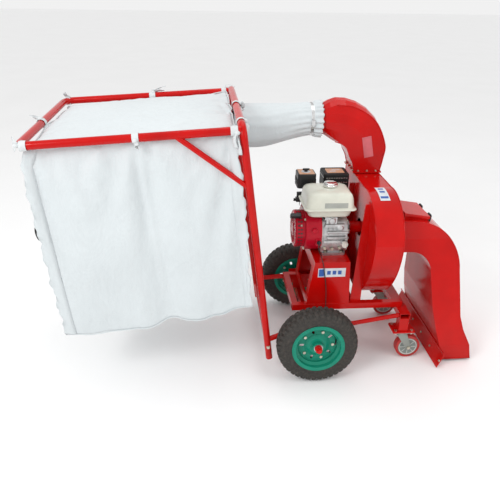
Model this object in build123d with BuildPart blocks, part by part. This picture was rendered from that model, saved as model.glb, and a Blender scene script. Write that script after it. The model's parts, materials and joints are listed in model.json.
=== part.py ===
"""Leaf vacuum mulcher: wheeled chassis, petrol engine, blower, intake nozzle, elbow and bag on its frame.

Millimetres, +Z up, +X towards the intake nozzle.  Y = 0 is the middle plane of the machine and the
crankshaft's plane.  The origin is on the ground, under the middle of the machine's box.
"""

import os
from math import atan2, cos, hypot, radians, sin, tan

from build123d import *

os.makedirs("parts", exist_ok=True)

# Driving dimensions ---------------------------------------------------------------------------------
AXLE_X = 194.0          # main wheel axle, along the machine
WHEEL_R = 190.0         # outer radius of the 3.50-8 tyre
WHEEL_Y = 342.0         # half of the main wheel track
TYRE_W = 92.0
RIM_R = 121.0           # rim flange
SEAT_R = 108.0          # bead seat of the rim
STUB_R = 10.0           # stub axle

RAIL = 30.0             # square tube of the chassis
RAIL_Y = 155.0          # centre of each rail
RAIL_Z = 268.0          # underside of the rails
RAIL_REAR = AXLE_X - 95.0
RAIL_FRONT = AXLE_X + 450.0
CROSS_X = AXLE_X + 450.0    # front cross member
CROSS_W = 50.0

CASTER_X = AXLE_X + 455.0   # swivel axis
CASTER_Y = 200.0
CASTER_TRAIL = 40.0
CASTER_R = 62.5
CASTER_PLATE_Z = 157.0      # underside of the mounting plate

PED_TOP = 524.0
PED_Y = 168.0               # half width of the engine pedestal
CRANK_Z = PED_TOP + 106.0
PTO_X = AXLE_X + 174.0      # machined face of the crankcase cover
SHAFT_END = AXLE_X + 236.0

FAN_REAR = AXLE_X + 245.0   # engine side face of the blower housing
FAN_DEPTH = 130.0
FAN_FRONT = FAN_REAR + FAN_DEPTH
SHEET = 2.5
ROTOR_R = 195.0
OUTLET_Y = 270.0            # centre of the blower outlet
OUTLET_HALF = 80.0
OUTLET_Z = 848.0            # top of the outlet flange

MOUTH_X = AXLE_X + 85.0     # elbow mouth
MOUTH_Z = 1097.0
SPIGOT_R = 75.0
SPIGOT_END = AXLE_X - 8.0

BAG_TUBE = 16.0             # outer radius of the bag frame tube
HOOP_X = AXLE_X - 362.0     # top bar of the hoop
HOOP_Z = 1221.0
HOOP_Y = 411.0
FOOT_X = AXLE_X - 214.0     # lower ends of the hoop
FOOT_Y = 286.0
FOOT_Z = 82.0
REAR_X = AXLE_X - 1180.0    # rear bar of the bag frame
REAR_Z = 1156.0

M8 = 4.0                    # bolt radius
HEAD = 6.5                  # half of the hexagon's width across flats


def save(node, name):
    """Label a finished piece and write it."""
    node.part.label = name
    export_step(node.part, f"parts/{name}.step")


def round_bar(points, radius, bend=0.0):
    """Solid round bar along straight runs joined by bends."""
    with BuildPart() as bar:
        with BuildLine() as path:
            if len(points) == 2:
                Line(*points)
            else:
                FilletPolyline(*points, radius=bend)
        with BuildSketch(Plane(origin=path.line @ 0, z_dir=path.line % 0)):
            Circle(radius)
        sweep()
    return bar.part


def round_tube(points, radius, wall, bend=0.0):
    """Round tube along straight runs joined by bends."""
    with BuildPart() as tube:
        with BuildLine() as path:
            if len(points) == 2:
                Line(*points)
            else:
                FilletPolyline(*points, radius=bend)
        with BuildSketch(Plane(origin=path.line @ 0, z_dir=path.line % 0)):
            Circle(radius)
            Circle(radius - wall, mode=Mode.SUBTRACT)
        sweep()
    return tube.part


def hoop_leg(z):
    """Centre of the hoop's leg at a height, on the +Y side."""
    share = (HOOP_Z - z) / (HOOP_Z - FOOT_Z)
    return HOOP_X + share * (FOOT_X - HOOP_X), HOOP_Y - share * (HOOP_Y - FOOT_Y)


# Chassis --------------------------------------------------------------------------------------------
UPRIGHT_Y = 150.0
UPRIGHT_TOP = 805.0

with BuildPart() as chassis_frame:
    with BuildSketch(Plane.YZ.offset(RAIL_REAR)):
        with Locations((RAIL_Y, RAIL_Z + RAIL / 2), (-RAIL_Y, RAIL_Z + RAIL / 2)):
            Rectangle(RAIL, RAIL)
            Rectangle(RAIL - 5, RAIL - 5, mode=Mode.SUBTRACT)
    extrude(amount=RAIL_FRONT - RAIL_REAR)
    with BuildSketch(Plane.XZ.offset(-(RAIL_Y - RAIL / 2))):
        with Locations((RAIL_REAR + RAIL / 2, RAIL_Z + RAIL / 2), (AXLE_X + 200, RAIL_Z + RAIL / 2)):
            Rectangle(RAIL, RAIL)
            Rectangle(RAIL - 5, RAIL - 5, mode=Mode.SUBTRACT)
    extrude(amount=2 * (RAIL_Y - RAIL / 2))
    with BuildSketch(Plane.XZ.offset(-235)):
        with Locations((CROSS_X, RAIL_Z - RAIL / 2)):
            Rectangle(CROSS_W, RAIL)
            Rectangle(CROSS_W - 6, RAIL - 6, mode=Mode.SUBTRACT)
    extrude(amount=470)
    for side in (-1, 1):
        with BuildSketch(Plane.XZ.offset(-side * UPRIGHT_Y - 2)):
            with BuildLine():
                Polyline(
                    (AXLE_X + 192, RAIL_Z + RAIL),
                    (FAN_REAR, RAIL_Z + RAIL),
                    (FAN_REAR, UPRIGHT_TOP),
                    (FAN_REAR - 26, UPRIGHT_TOP),
                    close=True,
                )
            make_face()
        extrude(amount=4)
        with BuildSketch(Plane.YZ.offset(FAN_REAR - 4)):
            with Locations((side * (UPRIGHT_Y - 15), (RAIL_Z + RAIL + UPRIGHT_TOP) / 2)):
                Rectangle(30, UPRIGHT_TOP - RAIL_Z - RAIL)
        extrude(amount=4)

with BuildPart() as axle_beam:
    with BuildSketch(Plane.XZ.offset(-255)):
        with Locations((AXLE_X, WHEEL_R)):
            Rectangle(40, 40)
            Rectangle(34, 34, mode=Mode.SUBTRACT)
    extrude(amount=510)
    for side in (-1, 1):
        with BuildSketch(Plane.XZ.offset(-side * 250)):
            with Locations((AXLE_X, WHEEL_R)):
                Rectangle(40, 40)
        extrude(amount=-side * 8)
        with BuildSketch(Plane.XZ.offset(-side * 255)):
            with Locations((AXLE_X, WHEEL_R)):
                Circle(STUB_R)
        extrude(amount=-side * (WHEEL_Y + 66 - 255))
        with BuildSketch(Plane.XZ.offset(-side * 255)):
            with Locations((AXLE_X, WHEEL_R)):
                Circle(15)
        extrude(amount=-side * (WHEEL_Y - 38 - 255))
        with BuildSketch(Plane.XZ.offset(-side * 275 - 4)):
            with Locations((AXLE_X - 10, WHEEL_R + 26)):
                RectangleRounded(72, 86, 8)
            with Locations((AXLE_X - 28, WHEEL_R + 36), (AXLE_X + 12, WHEEL_R + 36)):
                Circle(M8 + 0.2, mode=Mode.SUBTRACT)
        extrude(amount=8)
        with BuildSketch(Plane.XZ.offset(-side * RAIL_Y - 3)):
            with Locations((AXLE_X, (RAIL_Z + WHEEL_R + 20) / 2)):
                Rectangle(80, RAIL_Z - WHEEL_R - 20)
        extrude(amount=6)

rod_ends = [[(AXLE_X + 19.9, s * 232, 194), (CROSS_X - 25, s * 216, 251)] for s in (-1, 1)]
with BuildPart() as radius_rods:
    for ends in rod_ends:
        add(round_tube(ends, 11, 2))
    with BuildSketch(Plane.XY.offset(160)):
        with Locations((AXLE_X, 0)):
            Rectangle(40, 540)
    extrude(amount=70, mode=Mode.SUBTRACT)
    with BuildSketch(Plane.YZ.offset(CROSS_X - CROSS_W / 2)):
        with Locations((0, RAIL_Z - RAIL / 2)):
            Rectangle(480, 120)
    extrude(amount=40, mode=Mode.SUBTRACT)

with BuildPart() as caster_brackets:
    for side in (-1, 1):
        with BuildSketch(Plane.XY.offset(CASTER_PLATE_Z + 5)):
            with Locations((CASTER_X, side * CASTER_Y)):
                RectangleRounded(112, 88, 6)
                with GridLocations(80, 60, 2, 2):
                    Circle(M8 + 0.2, mode=Mode.SUBTRACT)
        extrude(amount=6)
        with BuildSketch(Plane.XY.offset(CASTER_PLATE_Z + 11)):
            with Locations((CROSS_X, side * 211)):
                Rectangle(46, 46)
                Rectangle(40, 40, mode=Mode.SUBTRACT)
        extrude(amount=RAIL_Z - RAIL - CASTER_PLATE_Z - 11)

with BuildPart() as chassis:
    add(chassis_frame.part)
    add(radius_rods.part)

for node, name in (
    (chassis, "chassis_frame"),
    (axle_beam, "axle_beam"),
    (caster_brackets, "caster_brackets"),
):
    save(node, name)


# Bolts ----------------------------------------------------------------------------------------------
def hex_bolt(plane, grip):
    """M8 bolt with its head on the plane, its nut under a grip of the given length."""
    with BuildPart() as bolt:
        with BuildSketch(plane):
            RegularPolygon(HEAD, 6, major_radius=False)
        extrude(amount=5.5)
        with BuildSketch(plane):
            Circle(M8)
        extrude(amount=-(grip + 9))
        with BuildSketch(plane.offset(-grip)):
            RegularPolygon(HEAD, 6, major_radius=False)
        extrude(amount=-6)
    return bolt.part


ENGINE_BOLT_X = AXLE_X + 105.0
BASE_FLANGE = 14.0
with BuildPart() as m8_bolts:
    for side in (-1, 1):
        for dx in (-40, 40):
            for dy in (-30, 30):
                top = (CASTER_X + dx, side * CASTER_Y + dy, CASTER_PLATE_Z + 11)
                add(hex_bolt(Plane(origin=top), 11))
        for x in (AXLE_X - 28, AXLE_X + 12):
            outer = (x, side * 279, WHEEL_R + 36)
            add(hex_bolt(Plane(origin=outer, z_dir=(0, side, 0)), 34))
        for dx in (-38, 38):
            top = (ENGINE_BOLT_X + dx, side * 81, PED_TOP + BASE_FLANGE)
            add(hex_bolt(Plane(origin=top), BASE_FLANGE + 5))
save(m8_bolts, "m8_bolts")


# Main wheels ----------------------------------------------------------------------------------------
BOLT_CIRCLE = 72.0


def wheel_plane(side):
    """Radius along local X, distance outwards from the wheel's middle along local Y."""
    return Plane(origin=(AXLE_X, side * WHEEL_Y, WHEEL_R), x_dir=(1, 0, 0), z_dir=(0, 0, side))


AXLE = Axis((AXLE_X, 0, WHEEL_R), (0, 1, 0))


def build_tyre(side):
    half = TYRE_W / 2
    with BuildPart() as tyre:
        with BuildSketch(wheel_plane(side)):
            with BuildLine():
                Line((SEAT_R, -39.8), (SEAT_R, -24))
                Line((SEAT_R, -24), (116, -26))
                Spline((116, -26), (150, -38), (172, -28), (178, 0), (172, 28), (150, 38), (116, 26))
                Line((116, 26), (SEAT_R, 24))
                Line((SEAT_R, 24), (SEAT_R, 39.8))
                Line((SEAT_R, 39.8), (RIM_R + 1, 39.8))
                Spline((RIM_R + 1, 39.8), (150, half), (172, half - 5), (184, 32))
                ThreePointArc((184, 32), (WHEEL_R, 0), (184, -32))
                Spline((184, -32), (172, 5 - half), (150, -half), (RIM_R + 1, -39.8))
                Line((RIM_R + 1, -39.8), (SEAT_R, -39.8))
            make_face()
        revolve(axis=AXLE)
    return tyre


def build_rim(side):
    """Pressed disc wheel: bead seats, drop centre, disc, hub tube and holes for bolts and hand."""
    with BuildPart() as rim:
        with BuildSketch(wheel_plane(side)):
            with BuildLine():
                Polyline(
                    (RIM_R, -43), (RIM_R, -40), (SEAT_R, -40), (SEAT_R, -22), (96, -14), (96, 14),
                    (SEAT_R, 22), (SEAT_R, 40), (RIM_R, 40), (RIM_R, 43), (SEAT_R - 3, 43),
                    (SEAT_R - 3, 24), (93, 16), (93, 6), (60, 6), (40, 18), (27, 18), (27, 38), (21.05, 38),
                    (21.05, -38), (27, -38), (27, 15), (39, 15), (59, 3), (93, 3), (93, -16),
                    (SEAT_R - 3, -24), (SEAT_R - 3, -43), close=True,
                )
            make_face()
        revolve(axis=AXLE)
        with BuildSketch(Plane(origin=(AXLE_X, side * (WHEEL_Y + 2), WHEEL_R), z_dir=(0, side, 0))):
            with PolarLocations(BOLT_CIRCLE, 5, start_angle=90):
                Circle(M8 + 0.2)
            with PolarLocations(BOLT_CIRCLE, 5, start_angle=54):
                SlotOverall(22, 12)
        extrude(amount=6, mode=Mode.SUBTRACT)
    return rim


def build_rim_bolts(side):
    with BuildPart() as bolts:
        outer = Plane(origin=(AXLE_X, side * (WHEEL_Y + 6), WHEEL_R), z_dir=(0, side, 0))
        for spot in PolarLocations(BOLT_CIRCLE, 5, start_angle=90):
            place = outer.from_local_coords(spot.position)
            add(hex_bolt(Plane(origin=place, z_dir=(0, side, 0)), 3))
    return bolts


for side, hand in ((-1, "right"), (1, "left")):
    save(build_tyre(side), f"{hand}_tyre")
    save(build_rim(side), f"{hand}_rim")
    save(build_rim_bolts(side), f"{hand}_rim_bolts")

with BuildPart() as wheel_bearings:
    for side in (-1, 1):
        for offset_y in (-38, 26):
            start = Plane(origin=(AXLE_X, side * (WHEEL_Y + offset_y), WHEEL_R), z_dir=(0, side, 0))
            with BuildSketch(start):
                Circle(21)
                Circle(STUB_R, mode=Mode.SUBTRACT)
            extrude(amount=12)

with BuildPart() as axle_nuts:
    for side in (-1, 1):
        face = Plane(origin=(AXLE_X, side * (WHEEL_Y + 39), WHEEL_R), z_dir=(0, side, 0))
        with BuildSketch(face):
            Circle(17)
            Circle(STUB_R, mode=Mode.SUBTRACT)
        extrude(amount=3)
        with BuildSketch(face.offset(3)):
            RegularPolygon(14, 6, major_radius=False)
            Circle(STUB_R, mode=Mode.SUBTRACT)
        extrude(amount=15)
save(wheel_bearings, "wheel_bearings")
save(axle_nuts, "axle_nuts")


# Casters --------------------------------------------------------------------------------------------
HUB_X = CASTER_X + CASTER_TRAIL
FORK_IN = 22.0
FORK_TOP = 145.0
KINGPIN_R = 8.0

with BuildPart() as caster_plates:
    for side in (-1, 1):
        with BuildSketch(Plane.XY.offset(CASTER_PLATE_Z)):
            with Locations((CASTER_X, side * CASTER_Y)):
                RectangleRounded(105, 82, 5)
                Circle(KINGPIN_R + 0.05, mode=Mode.SUBTRACT)
                with GridLocations(80, 60, 2, 2):
                    Circle(M8 + 0.2, mode=Mode.SUBTRACT)
        extrude(amount=5)
save(caster_plates, "caster_plates")


def build_fork(y):
    """Fork with its swivel race and kingpin, two legs raked to the wheel's axle."""
    with BuildPart() as fork:
        with BuildSketch(Plane.XY.offset(FORK_TOP - 5)):
            with Locations((CASTER_X, y)):
                RectangleRounded(54, 2 * FORK_IN + 8, 8)
        extrude(amount=5)
        with BuildSketch(Plane.XY.offset(FORK_TOP)):
            with Locations((CASTER_X, y)):
                Circle(25)
        extrude(amount=CASTER_PLATE_Z - FORK_TOP - 0.3)
        with BuildSketch(Plane.XY.offset(FORK_TOP)):
            with Locations((CASTER_X, y)):
                Circle(KINGPIN_R)
        extrude(amount=CASTER_PLATE_Z - FORK_TOP + 4.5)
        for leg in (y - FORK_IN, y + FORK_IN + 4):
            with BuildSketch(Plane.XZ.offset(-leg)):
                with BuildLine():
                    Line((CASTER_X - 25, FORK_TOP - 5), (CASTER_X + 25, FORK_TOP - 5))
                    Line((CASTER_X + 25, FORK_TOP - 5), (HUB_X + 15, CASTER_R))
                    ThreePointArc((HUB_X + 15, CASTER_R), (HUB_X, CASTER_R - 15), (HUB_X - 15, CASTER_R))
                    Line((HUB_X - 15, CASTER_R), (CASTER_X - 25, FORK_TOP - 5))
                make_face()
                with Locations((HUB_X, CASTER_R)):
                    Circle(5.0, mode=Mode.SUBTRACT)
            extrude(amount=4)
    return fork


def build_caster_disc(y, outer, inner, half, round_off):
    """Disc of a caster wheel, turned about the wheel's axle."""
    with BuildPart() as disc:
        with BuildSketch(Plane(origin=(HUB_X, y - half, CASTER_R), z_dir=(0, 1, 0))):
            Circle(outer)
            Circle(inner, mode=Mode.SUBTRACT)
        extrude(amount=2 * half)
        fillet(disc.edges().filter_by(GeomType.CIRCLE).group_by(SortBy.LENGTH)[-1], round_off)
    return disc


def build_caster_axle(y):
    """Axle bolt through both fork legs."""
    with BuildPart() as axle:
        with BuildSketch(Plane(origin=(HUB_X, y - 34, CASTER_R), z_dir=(0, 1, 0))):
            Circle(5)
        extrude(amount=68)
        for start in (y - 32, y + FORK_IN + 4):
            with BuildSketch(Plane(origin=(HUB_X, start, CASTER_R), z_dir=(0, 1, 0))):
                RegularPolygon(8, 6, major_radius=False)
            extrude(amount=6)
    return axle


for side, hand in ((-1, "right"), (1, "left")):
    y = side * CASTER_Y
    save(build_fork(y), f"{hand}_caster_fork")
    save(build_caster_disc(y, 50, 5.05, 17, 2), f"{hand}_caster_core")
    save(build_caster_disc(y, CASTER_R, 50, 19, 6), f"{hand}_caster_tread")
    save(build_caster_axle(y), f"{hand}_caster_axle")


# Engine pedestal ------------------------------------------------------------------------------------
def pedestal_profile(inset, drop):
    """Side view of the pedestal, its walls moved in and its floor lowered."""
    return [
        (AXLE_X - 28 + inset, RAIL_Z + RAIL - drop),
        (AXLE_X + 184 - inset, RAIL_Z + RAIL - drop),
        (AXLE_X + 171 - inset, PED_TOP - inset),
        (AXLE_X + 3 + inset, PED_TOP - inset),
    ]


with BuildPart() as pedestal_hollow:
    with BuildSketch(Plane.XZ.offset(-(PED_Y - SHEET))):
        with BuildLine():
            Polyline(*pedestal_profile(5, 10), close=True)
        make_face()
    extrude(amount=2 * (PED_Y - SHEET))

with BuildPart() as engine_pedestal:
    with BuildSketch(Plane.XZ.offset(-PED_Y)):
        with BuildLine():
            Polyline(*pedestal_profile(0, 0), close=True)
        make_face()
    extrude(amount=2 * PED_Y)
    add(pedestal_hollow.part, mode=Mode.SUBTRACT)
    with BuildSketch(Plane.YZ.offset(AXLE_X - 60)):
        with Locations((0, 405)):
            Rectangle(230, 150)
    extrude(amount=120, mode=Mode.SUBTRACT)
    with BuildSketch(Plane.XY.offset(PED_TOP - 20)):
        with Locations((ENGINE_BOLT_X, 0)):
            with GridLocations(76, 162, 2, 2):
                Circle(M8 + 0.2)
    extrude(amount=40, mode=Mode.SUBTRACT)
save(engine_pedestal, "engine_pedestal")


# Blower ---------------------------------------------------------------------------------------------
def fan_plane(x):
    """Y along local X and height above the shaft along local Y, facing +X."""
    return Plane(origin=(x, 0, CRANK_Z), x_dir=(0, 1, 0), z_dir=(1, 0, 0))


TONGUE_UP = 210.0
RISE = OUTLET_Z - 4 - CRANK_Z
NEAR_WALL = OUTLET_Y - OUTLET_HALF
FAR_WALL = OUTLET_Y + OUTLET_HALF


def scroll_outline():
    """Volute that widens from the tongue round to the outlet on the +Y side."""
    Line((NEAR_WALL, RISE), (NEAR_WALL, TONGUE_UP))
    Line((NEAR_WALL, TONGUE_UP), (-20, TONGUE_UP))
    ThreePointArc((-20, TONGUE_UP), (-202, 158), (-282, 24))
    ThreePointArc((-282, 24), (-252, -118), (-120, -290))
    ThreePointArc((-120, -290), (190, -274), (FAR_WALL, 0))
    Line((FAR_WALL, 0), (FAR_WALL, RISE))
    Line((FAR_WALL, RISE), (NEAR_WALL, RISE))


with BuildPart() as scroll_inside:
    with BuildSketch(fan_plane(FAN_REAR + SHEET)):
        with BuildLine():
            scroll_outline()
        make_face()
        offset(amount=-SHEET)
        with Locations((OUTLET_Y, RISE)):
            Rectangle(2 * OUTLET_HALF - 2 * SHEET, 40)
    extrude(amount=FAN_DEPTH)

with BuildPart() as scroll_housing:
    with BuildSketch(fan_plane(FAN_REAR)):
        with BuildLine():
            scroll_outline()
        make_face()
    extrude(amount=FAN_DEPTH - SHEET)
    add(scroll_inside.part, mode=Mode.SUBTRACT)
    with BuildSketch(Plane.XY.offset(OUTLET_Z - 4)):
        with Locations((FAN_REAR + FAN_DEPTH / 2, OUTLET_Y)):
            Rectangle(FAN_DEPTH + 16, 2 * OUTLET_HALF + 16)
            Rectangle(FAN_DEPTH - 2 * SHEET, 2 * (OUTLET_HALF - SHEET), mode=Mode.SUBTRACT)
    extrude(amount=4)
    with BuildSketch(fan_plane(FAN_REAR)):
        Circle(45)
    extrude(amount=SHEET, mode=Mode.SUBTRACT)
save(scroll_housing, "scroll_housing")

INLET_Z = 628.0
INLET_HALF_Y = 122.0
INLET_HALF_Z = 75.0
with BuildPart() as housing_front_plate:
    with BuildSketch(fan_plane(FAN_FRONT - SHEET)):
        with BuildLine():
            scroll_outline()
        make_face()
        with Locations((OUTLET_Y, RISE)):
            Rectangle(400, 8, mode=Mode.SUBTRACT)
        with Locations((0, INLET_Z - CRANK_Z)):
            Rectangle(2 * INLET_HALF_Y - 2 * SHEET, 2 * INLET_HALF_Z - 2 * SHEET, mode=Mode.SUBTRACT)
    extrude(amount=SHEET)
save(housing_front_plate, "housing_front_plate")

HUB_START = AXLE_X + 192.0
BLADES = 6
with BuildPart() as impeller:
    with BuildSketch(fan_plane(FAN_REAR + 16)):
        Circle(ROTOR_R)
    extrude(amount=5)
    with BuildSketch(fan_plane(HUB_START)):
        Circle(28)
    extrude(amount=FAN_REAR + 60 - HUB_START)
    with BuildSketch(fan_plane(FAN_REAR + 21)):
        for k in range(BLADES):
            with Locations((Rot(0, 0, 360 / BLADES * k) * Pos(112, 12, 0))):
                Rectangle(164, 6)
    extrude(amount=80)
    with BuildSketch(fan_plane(HUB_START - 1)):
        Circle(STUB_R)
    extrude(amount=SHAFT_END + 1 - HUB_START + 1, mode=Mode.SUBTRACT)
save(impeller, "impeller")


# Discharge elbow ------------------------------------------------------------------------------------
def duct_outline(reach, half_width, round_out, round_in):
    """Sixteen corners between a rectangle and a circle, rounder outside the bend than inside it."""
    corners = []
    for k in range(16):
        c = cos(radians(22.5 * k))
        s = sin(radians(22.5 * k))
        square = 1 / max(abs(c), abs(s))
        share = round_out if c > 0.1 else round_in
        scale = square + share * (1 - square)
        corners.append((reach * c * scale, half_width * s * scale))
    return corners


# Centre along X and Z, turn from upright, half reach across the bend, roundness outside and inside.
ELBOW_STATIONS = (
    (FAN_REAR + FAN_DEPTH / 2, OUTLET_Z + 4, 0, 65, 0.0, 0.0),
    (AXLE_X + 309, 905, 6, 77, 0.0, 0.0),
    (AXLE_X + 303, 960, 18, 95, 0.15, 0.0),
    (AXLE_X + 270, 1036, 45, 103, 0.45, 0.1),
    (AXLE_X + 205, 1082, 72, 108, 0.7, 0.25),
    (AXLE_X + 138, 1096, 90, 106, 0.85, 0.6),
    (MOUTH_X, MOUTH_Z, 95, 78, 1.0, 1.0),
)


def smoothed(stations):
    """Adds a station between each pair, on a curve through its neighbours, so the bend reads as one sweep."""
    start = tuple(2 * p - q for p, q in zip(stations[0], stations[1]))
    end = tuple(2 * p - q for p, q in zip(stations[-1], stations[-2]))
    padded = (start, *stations, end)
    filled = [stations[0]]
    for k in range(len(stations) - 1):
        before, left, right, after = padded[k : k + 4]
        middle = [(9 * (b + c) - a - d) / 16 for a, b, c, d in zip(before, left, right, after)]
        rounding = [min(1.0, max(0.0, share)) for share in middle[4:]]
        filled.append((*middle[:4], *rounding))
        filled.append(right)
    return filled


def elbow_plane(x, z, turn):
    """Local X points outside the bend, local Z along the flow."""
    flow = (-sin(radians(turn)), 0, cos(radians(turn)))
    outward = (cos(radians(turn)), 0, sin(radians(turn)))
    return Plane(origin=(x, OUTLET_Y, z), x_dir=outward, z_dir=flow)


def elbow_link(first, second, inset):
    """Ruled duct between two stations, its walls moved in by an inset."""
    with BuildPart() as link:
        for x, z, turn, reach, round_out, round_in in (first, second):
            with BuildSketch(elbow_plane(x, z, turn)):
                with BuildLine():
                    corners = duct_outline(reach - inset, OUTLET_HALF - inset, round_out, round_in)
                    Polyline(*corners, close=True)
                make_face()
        loft(ruled=True)
    return link.part


def elbow_body(inset):
    """All the links of the elbow joined."""
    stations = smoothed(ELBOW_STATIONS)
    links = [elbow_link(first, second, inset) for first, second in zip(stations, stations[1:])]
    with BuildPart() as duct:
        for link in links:
            add(link)
    return duct.part


elbow_outside = elbow_body(0)
elbow_inside = elbow_body(2.5)
with BuildPart() as discharge_elbow:
    add(elbow_outside)
    with BuildSketch(Plane.YZ.offset(SPIGOT_END)):
        with Locations((OUTLET_Y, MOUTH_Z)):
            Circle(SPIGOT_R)
    extrude(amount=MOUTH_X + 6 - SPIGOT_END)
    add(elbow_inside, mode=Mode.SUBTRACT)
    with BuildSketch(Plane.YZ.offset(SPIGOT_END)):
        with Locations((OUTLET_Y, MOUTH_Z)):
            Circle(SPIGOT_R - 2)
    extrude(amount=MOUTH_X + 10 - SPIGOT_END, mode=Mode.SUBTRACT)
    with BuildSketch(Plane.XY.offset(OUTLET_Z)):
        with Locations((FAN_REAR + FAN_DEPTH / 2, OUTLET_Y)):
            Rectangle(FAN_DEPTH + 16, 2 * OUTLET_HALF + 16)
            Rectangle(FAN_DEPTH - 5, 2 * OUTLET_HALF - 5, mode=Mode.SUBTRACT)
    extrude(amount=4)
save(discharge_elbow, "discharge_elbow")


# Intake nozzle --------------------------------------------------------------------------------------
NOZZLE_BOTTOM = 12.0
LIP_TOP = 92.0
LIP_HALF = 262.0
CROWN_Z = INLET_Z + INLET_HALF_Z
THROAT_Z = INLET_Z - INLET_HALF_Z
BEND_X = AXLE_X + 472.0
NOZZLE_START = FAN_FRONT


def nozzle_profile(inset, overrun):
    """Side view of the duct: level at the blower, then bent down to the ground and flared forwards."""
    start = NOZZLE_START - overrun
    floor = NOZZLE_BOTTOM - overrun
    outer_r = 243 - inset
    inner_r = 101 + inset
    bend_z = CROWN_Z - 243
    turn = cos(radians(45))
    Line((start, CROWN_Z - inset), (BEND_X, CROWN_Z - inset))
    ThreePointArc(
        (BEND_X, CROWN_Z - inset),
        (BEND_X + outer_r * turn, bend_z + outer_r * turn),
        (BEND_X + outer_r, bend_z),
    )
    Polyline(
        (BEND_X + outer_r, bend_z),
        (AXLE_X + 734 - inset, 235),
        (AXLE_X + 753 - inset, 168),
        (AXLE_X + 789 - inset, LIP_TOP),
        (AXLE_X + 806 - inset, floor),
        (AXLE_X + 656 + inset, floor),
        (AXLE_X + 638 + inset, LIP_TOP),
        (AXLE_X + 616 + inset, 168),
        (AXLE_X + 592 + inset, 281),
        (BEND_X + inner_r, THROAT_Z - 101),
    )
    ThreePointArc(
        (BEND_X + inner_r, THROAT_Z - 101),
        (BEND_X + inner_r * turn, THROAT_Z - 101 + inner_r * turn),
        (BEND_X, THROAT_Z + inset),
    )
    Line((BEND_X, THROAT_Z + inset), (start, THROAT_Z + inset))
    Line((start, THROAT_Z + inset), (start, CROWN_Z - inset))


def nozzle_body(inset, overrun):
    """Duct whose side sheets lean in from the lip to the blower inlet."""
    with BuildPart() as duct:
        with BuildSketch(Plane.XZ):
            with BuildLine():
                nozzle_profile(inset, overrun)
            make_face()
        extrude(amount=320, both=True)
        with BuildSketch(Plane.YZ.offset(NOZZLE_START - 60)):
            with BuildLine():
                Polyline(
                    (LIP_HALF - inset, -40),
                    (LIP_HALF - inset, LIP_TOP),
                    (INLET_HALF_Y - inset, THROAT_Z + 60),
                    (INLET_HALF_Y - inset, CROWN_Z + 40),
                    (inset - INLET_HALF_Y, CROWN_Z + 40),
                    (inset - INLET_HALF_Y, THROAT_Z + 60),
                    (inset - LIP_HALF, LIP_TOP),
                    (inset - LIP_HALF, -40),
                    close=True,
                )
            make_face()
        extrude(amount=700, mode=Mode.INTERSECT)
    return duct.part


HATCH_X = AXLE_X + 492.0
HATCH_TILT = 9.0
HATCH_RISE = 10.0
HINGE_X = -71.5
HINGE_Z = 5.0
PIN_R = 2.5
HATCH_BASE = Plane(
    origin=(HATCH_X, 0, CROWN_Z + HATCH_RISE),
    x_dir=(cos(radians(HATCH_TILT)), 0, -sin(radians(HATCH_TILT))),
    z_dir=(sin(radians(HATCH_TILT)), 0, cos(radians(HATCH_TILT))),
)
nozzle_outside = nozzle_body(0, 0)
nozzle_inside = nozzle_body(SHEET, 8)
with BuildPart() as intake_nozzle:
    add(nozzle_outside)
    with BuildSketch(HATCH_BASE.offset(-38)):
        Rectangle(118, 176)
    extrude(amount=38)
    add(nozzle_inside, mode=Mode.SUBTRACT)
    with BuildSketch(HATCH_BASE.offset(-45)):
        Rectangle(112, 170)
    extrude(amount=50, mode=Mode.SUBTRACT)
    with BuildSketch(fan_plane(FAN_FRONT)):
        with Locations((0, INLET_Z - CRANK_Z)):
            Rectangle(2 * INLET_HALF_Y + 24, 2 * INLET_HALF_Z + 24)
            Rectangle(2 * INLET_HALF_Y - 2 * SHEET, 2 * INLET_HALF_Z - 2 * SHEET, mode=Mode.SUBTRACT)
    extrude(amount=SHEET)
save(intake_nozzle, "intake_nozzle")

# Hinge axis: local Z across the machine, local X along the lid.
HATCH_HINGE = Plane(
    origin=HATCH_BASE.from_local_coords((HINGE_X, 0, HINGE_Z)),
    x_dir=HATCH_BASE.x_dir,
    z_dir=(0, -1, 0),
)
with BuildPart() as hatch_lid:
    with BuildSketch(HATCH_BASE.offset(0.4)):
        Rectangle(126, 184)
    extrude(amount=12)
    with BuildSketch(HATCH_BASE.offset(-2)):
        Rectangle(126, 184)
        Rectangle(120.6, 178.6, mode=Mode.SUBTRACT)
    extrude(amount=2.4)
    fillet(hatch_lid.edges().filter_by(Axis.Y).group_by(Axis.Z)[-1], 3)
    with BuildSketch(HATCH_HINGE):
        Circle(PIN_R + 3)
        with Locations((5.5, 0)):
            Rectangle(11, 5)
        Circle(PIN_R + 0.3, mode=Mode.SUBTRACT)
    extrude(amount=36, both=True)
save(hatch_lid, "hatch_lid")

with BuildPart() as hatch_latches:
    for end in (-1, 1):
        for y in (-60, 60):
            with BuildSketch(HATCH_BASE.offset(-24)):
                with Locations((-end * HINGE_X, y)):
                    Rectangle(14, 30)
            extrude(amount=33)
    with BuildSketch(HATCH_HINGE):
        Circle(PIN_R)
    extrude(amount=78, both=True)
    add(nozzle_outside, mode=Mode.SUBTRACT)
save(hatch_latches, "hatch_latches")

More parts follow.
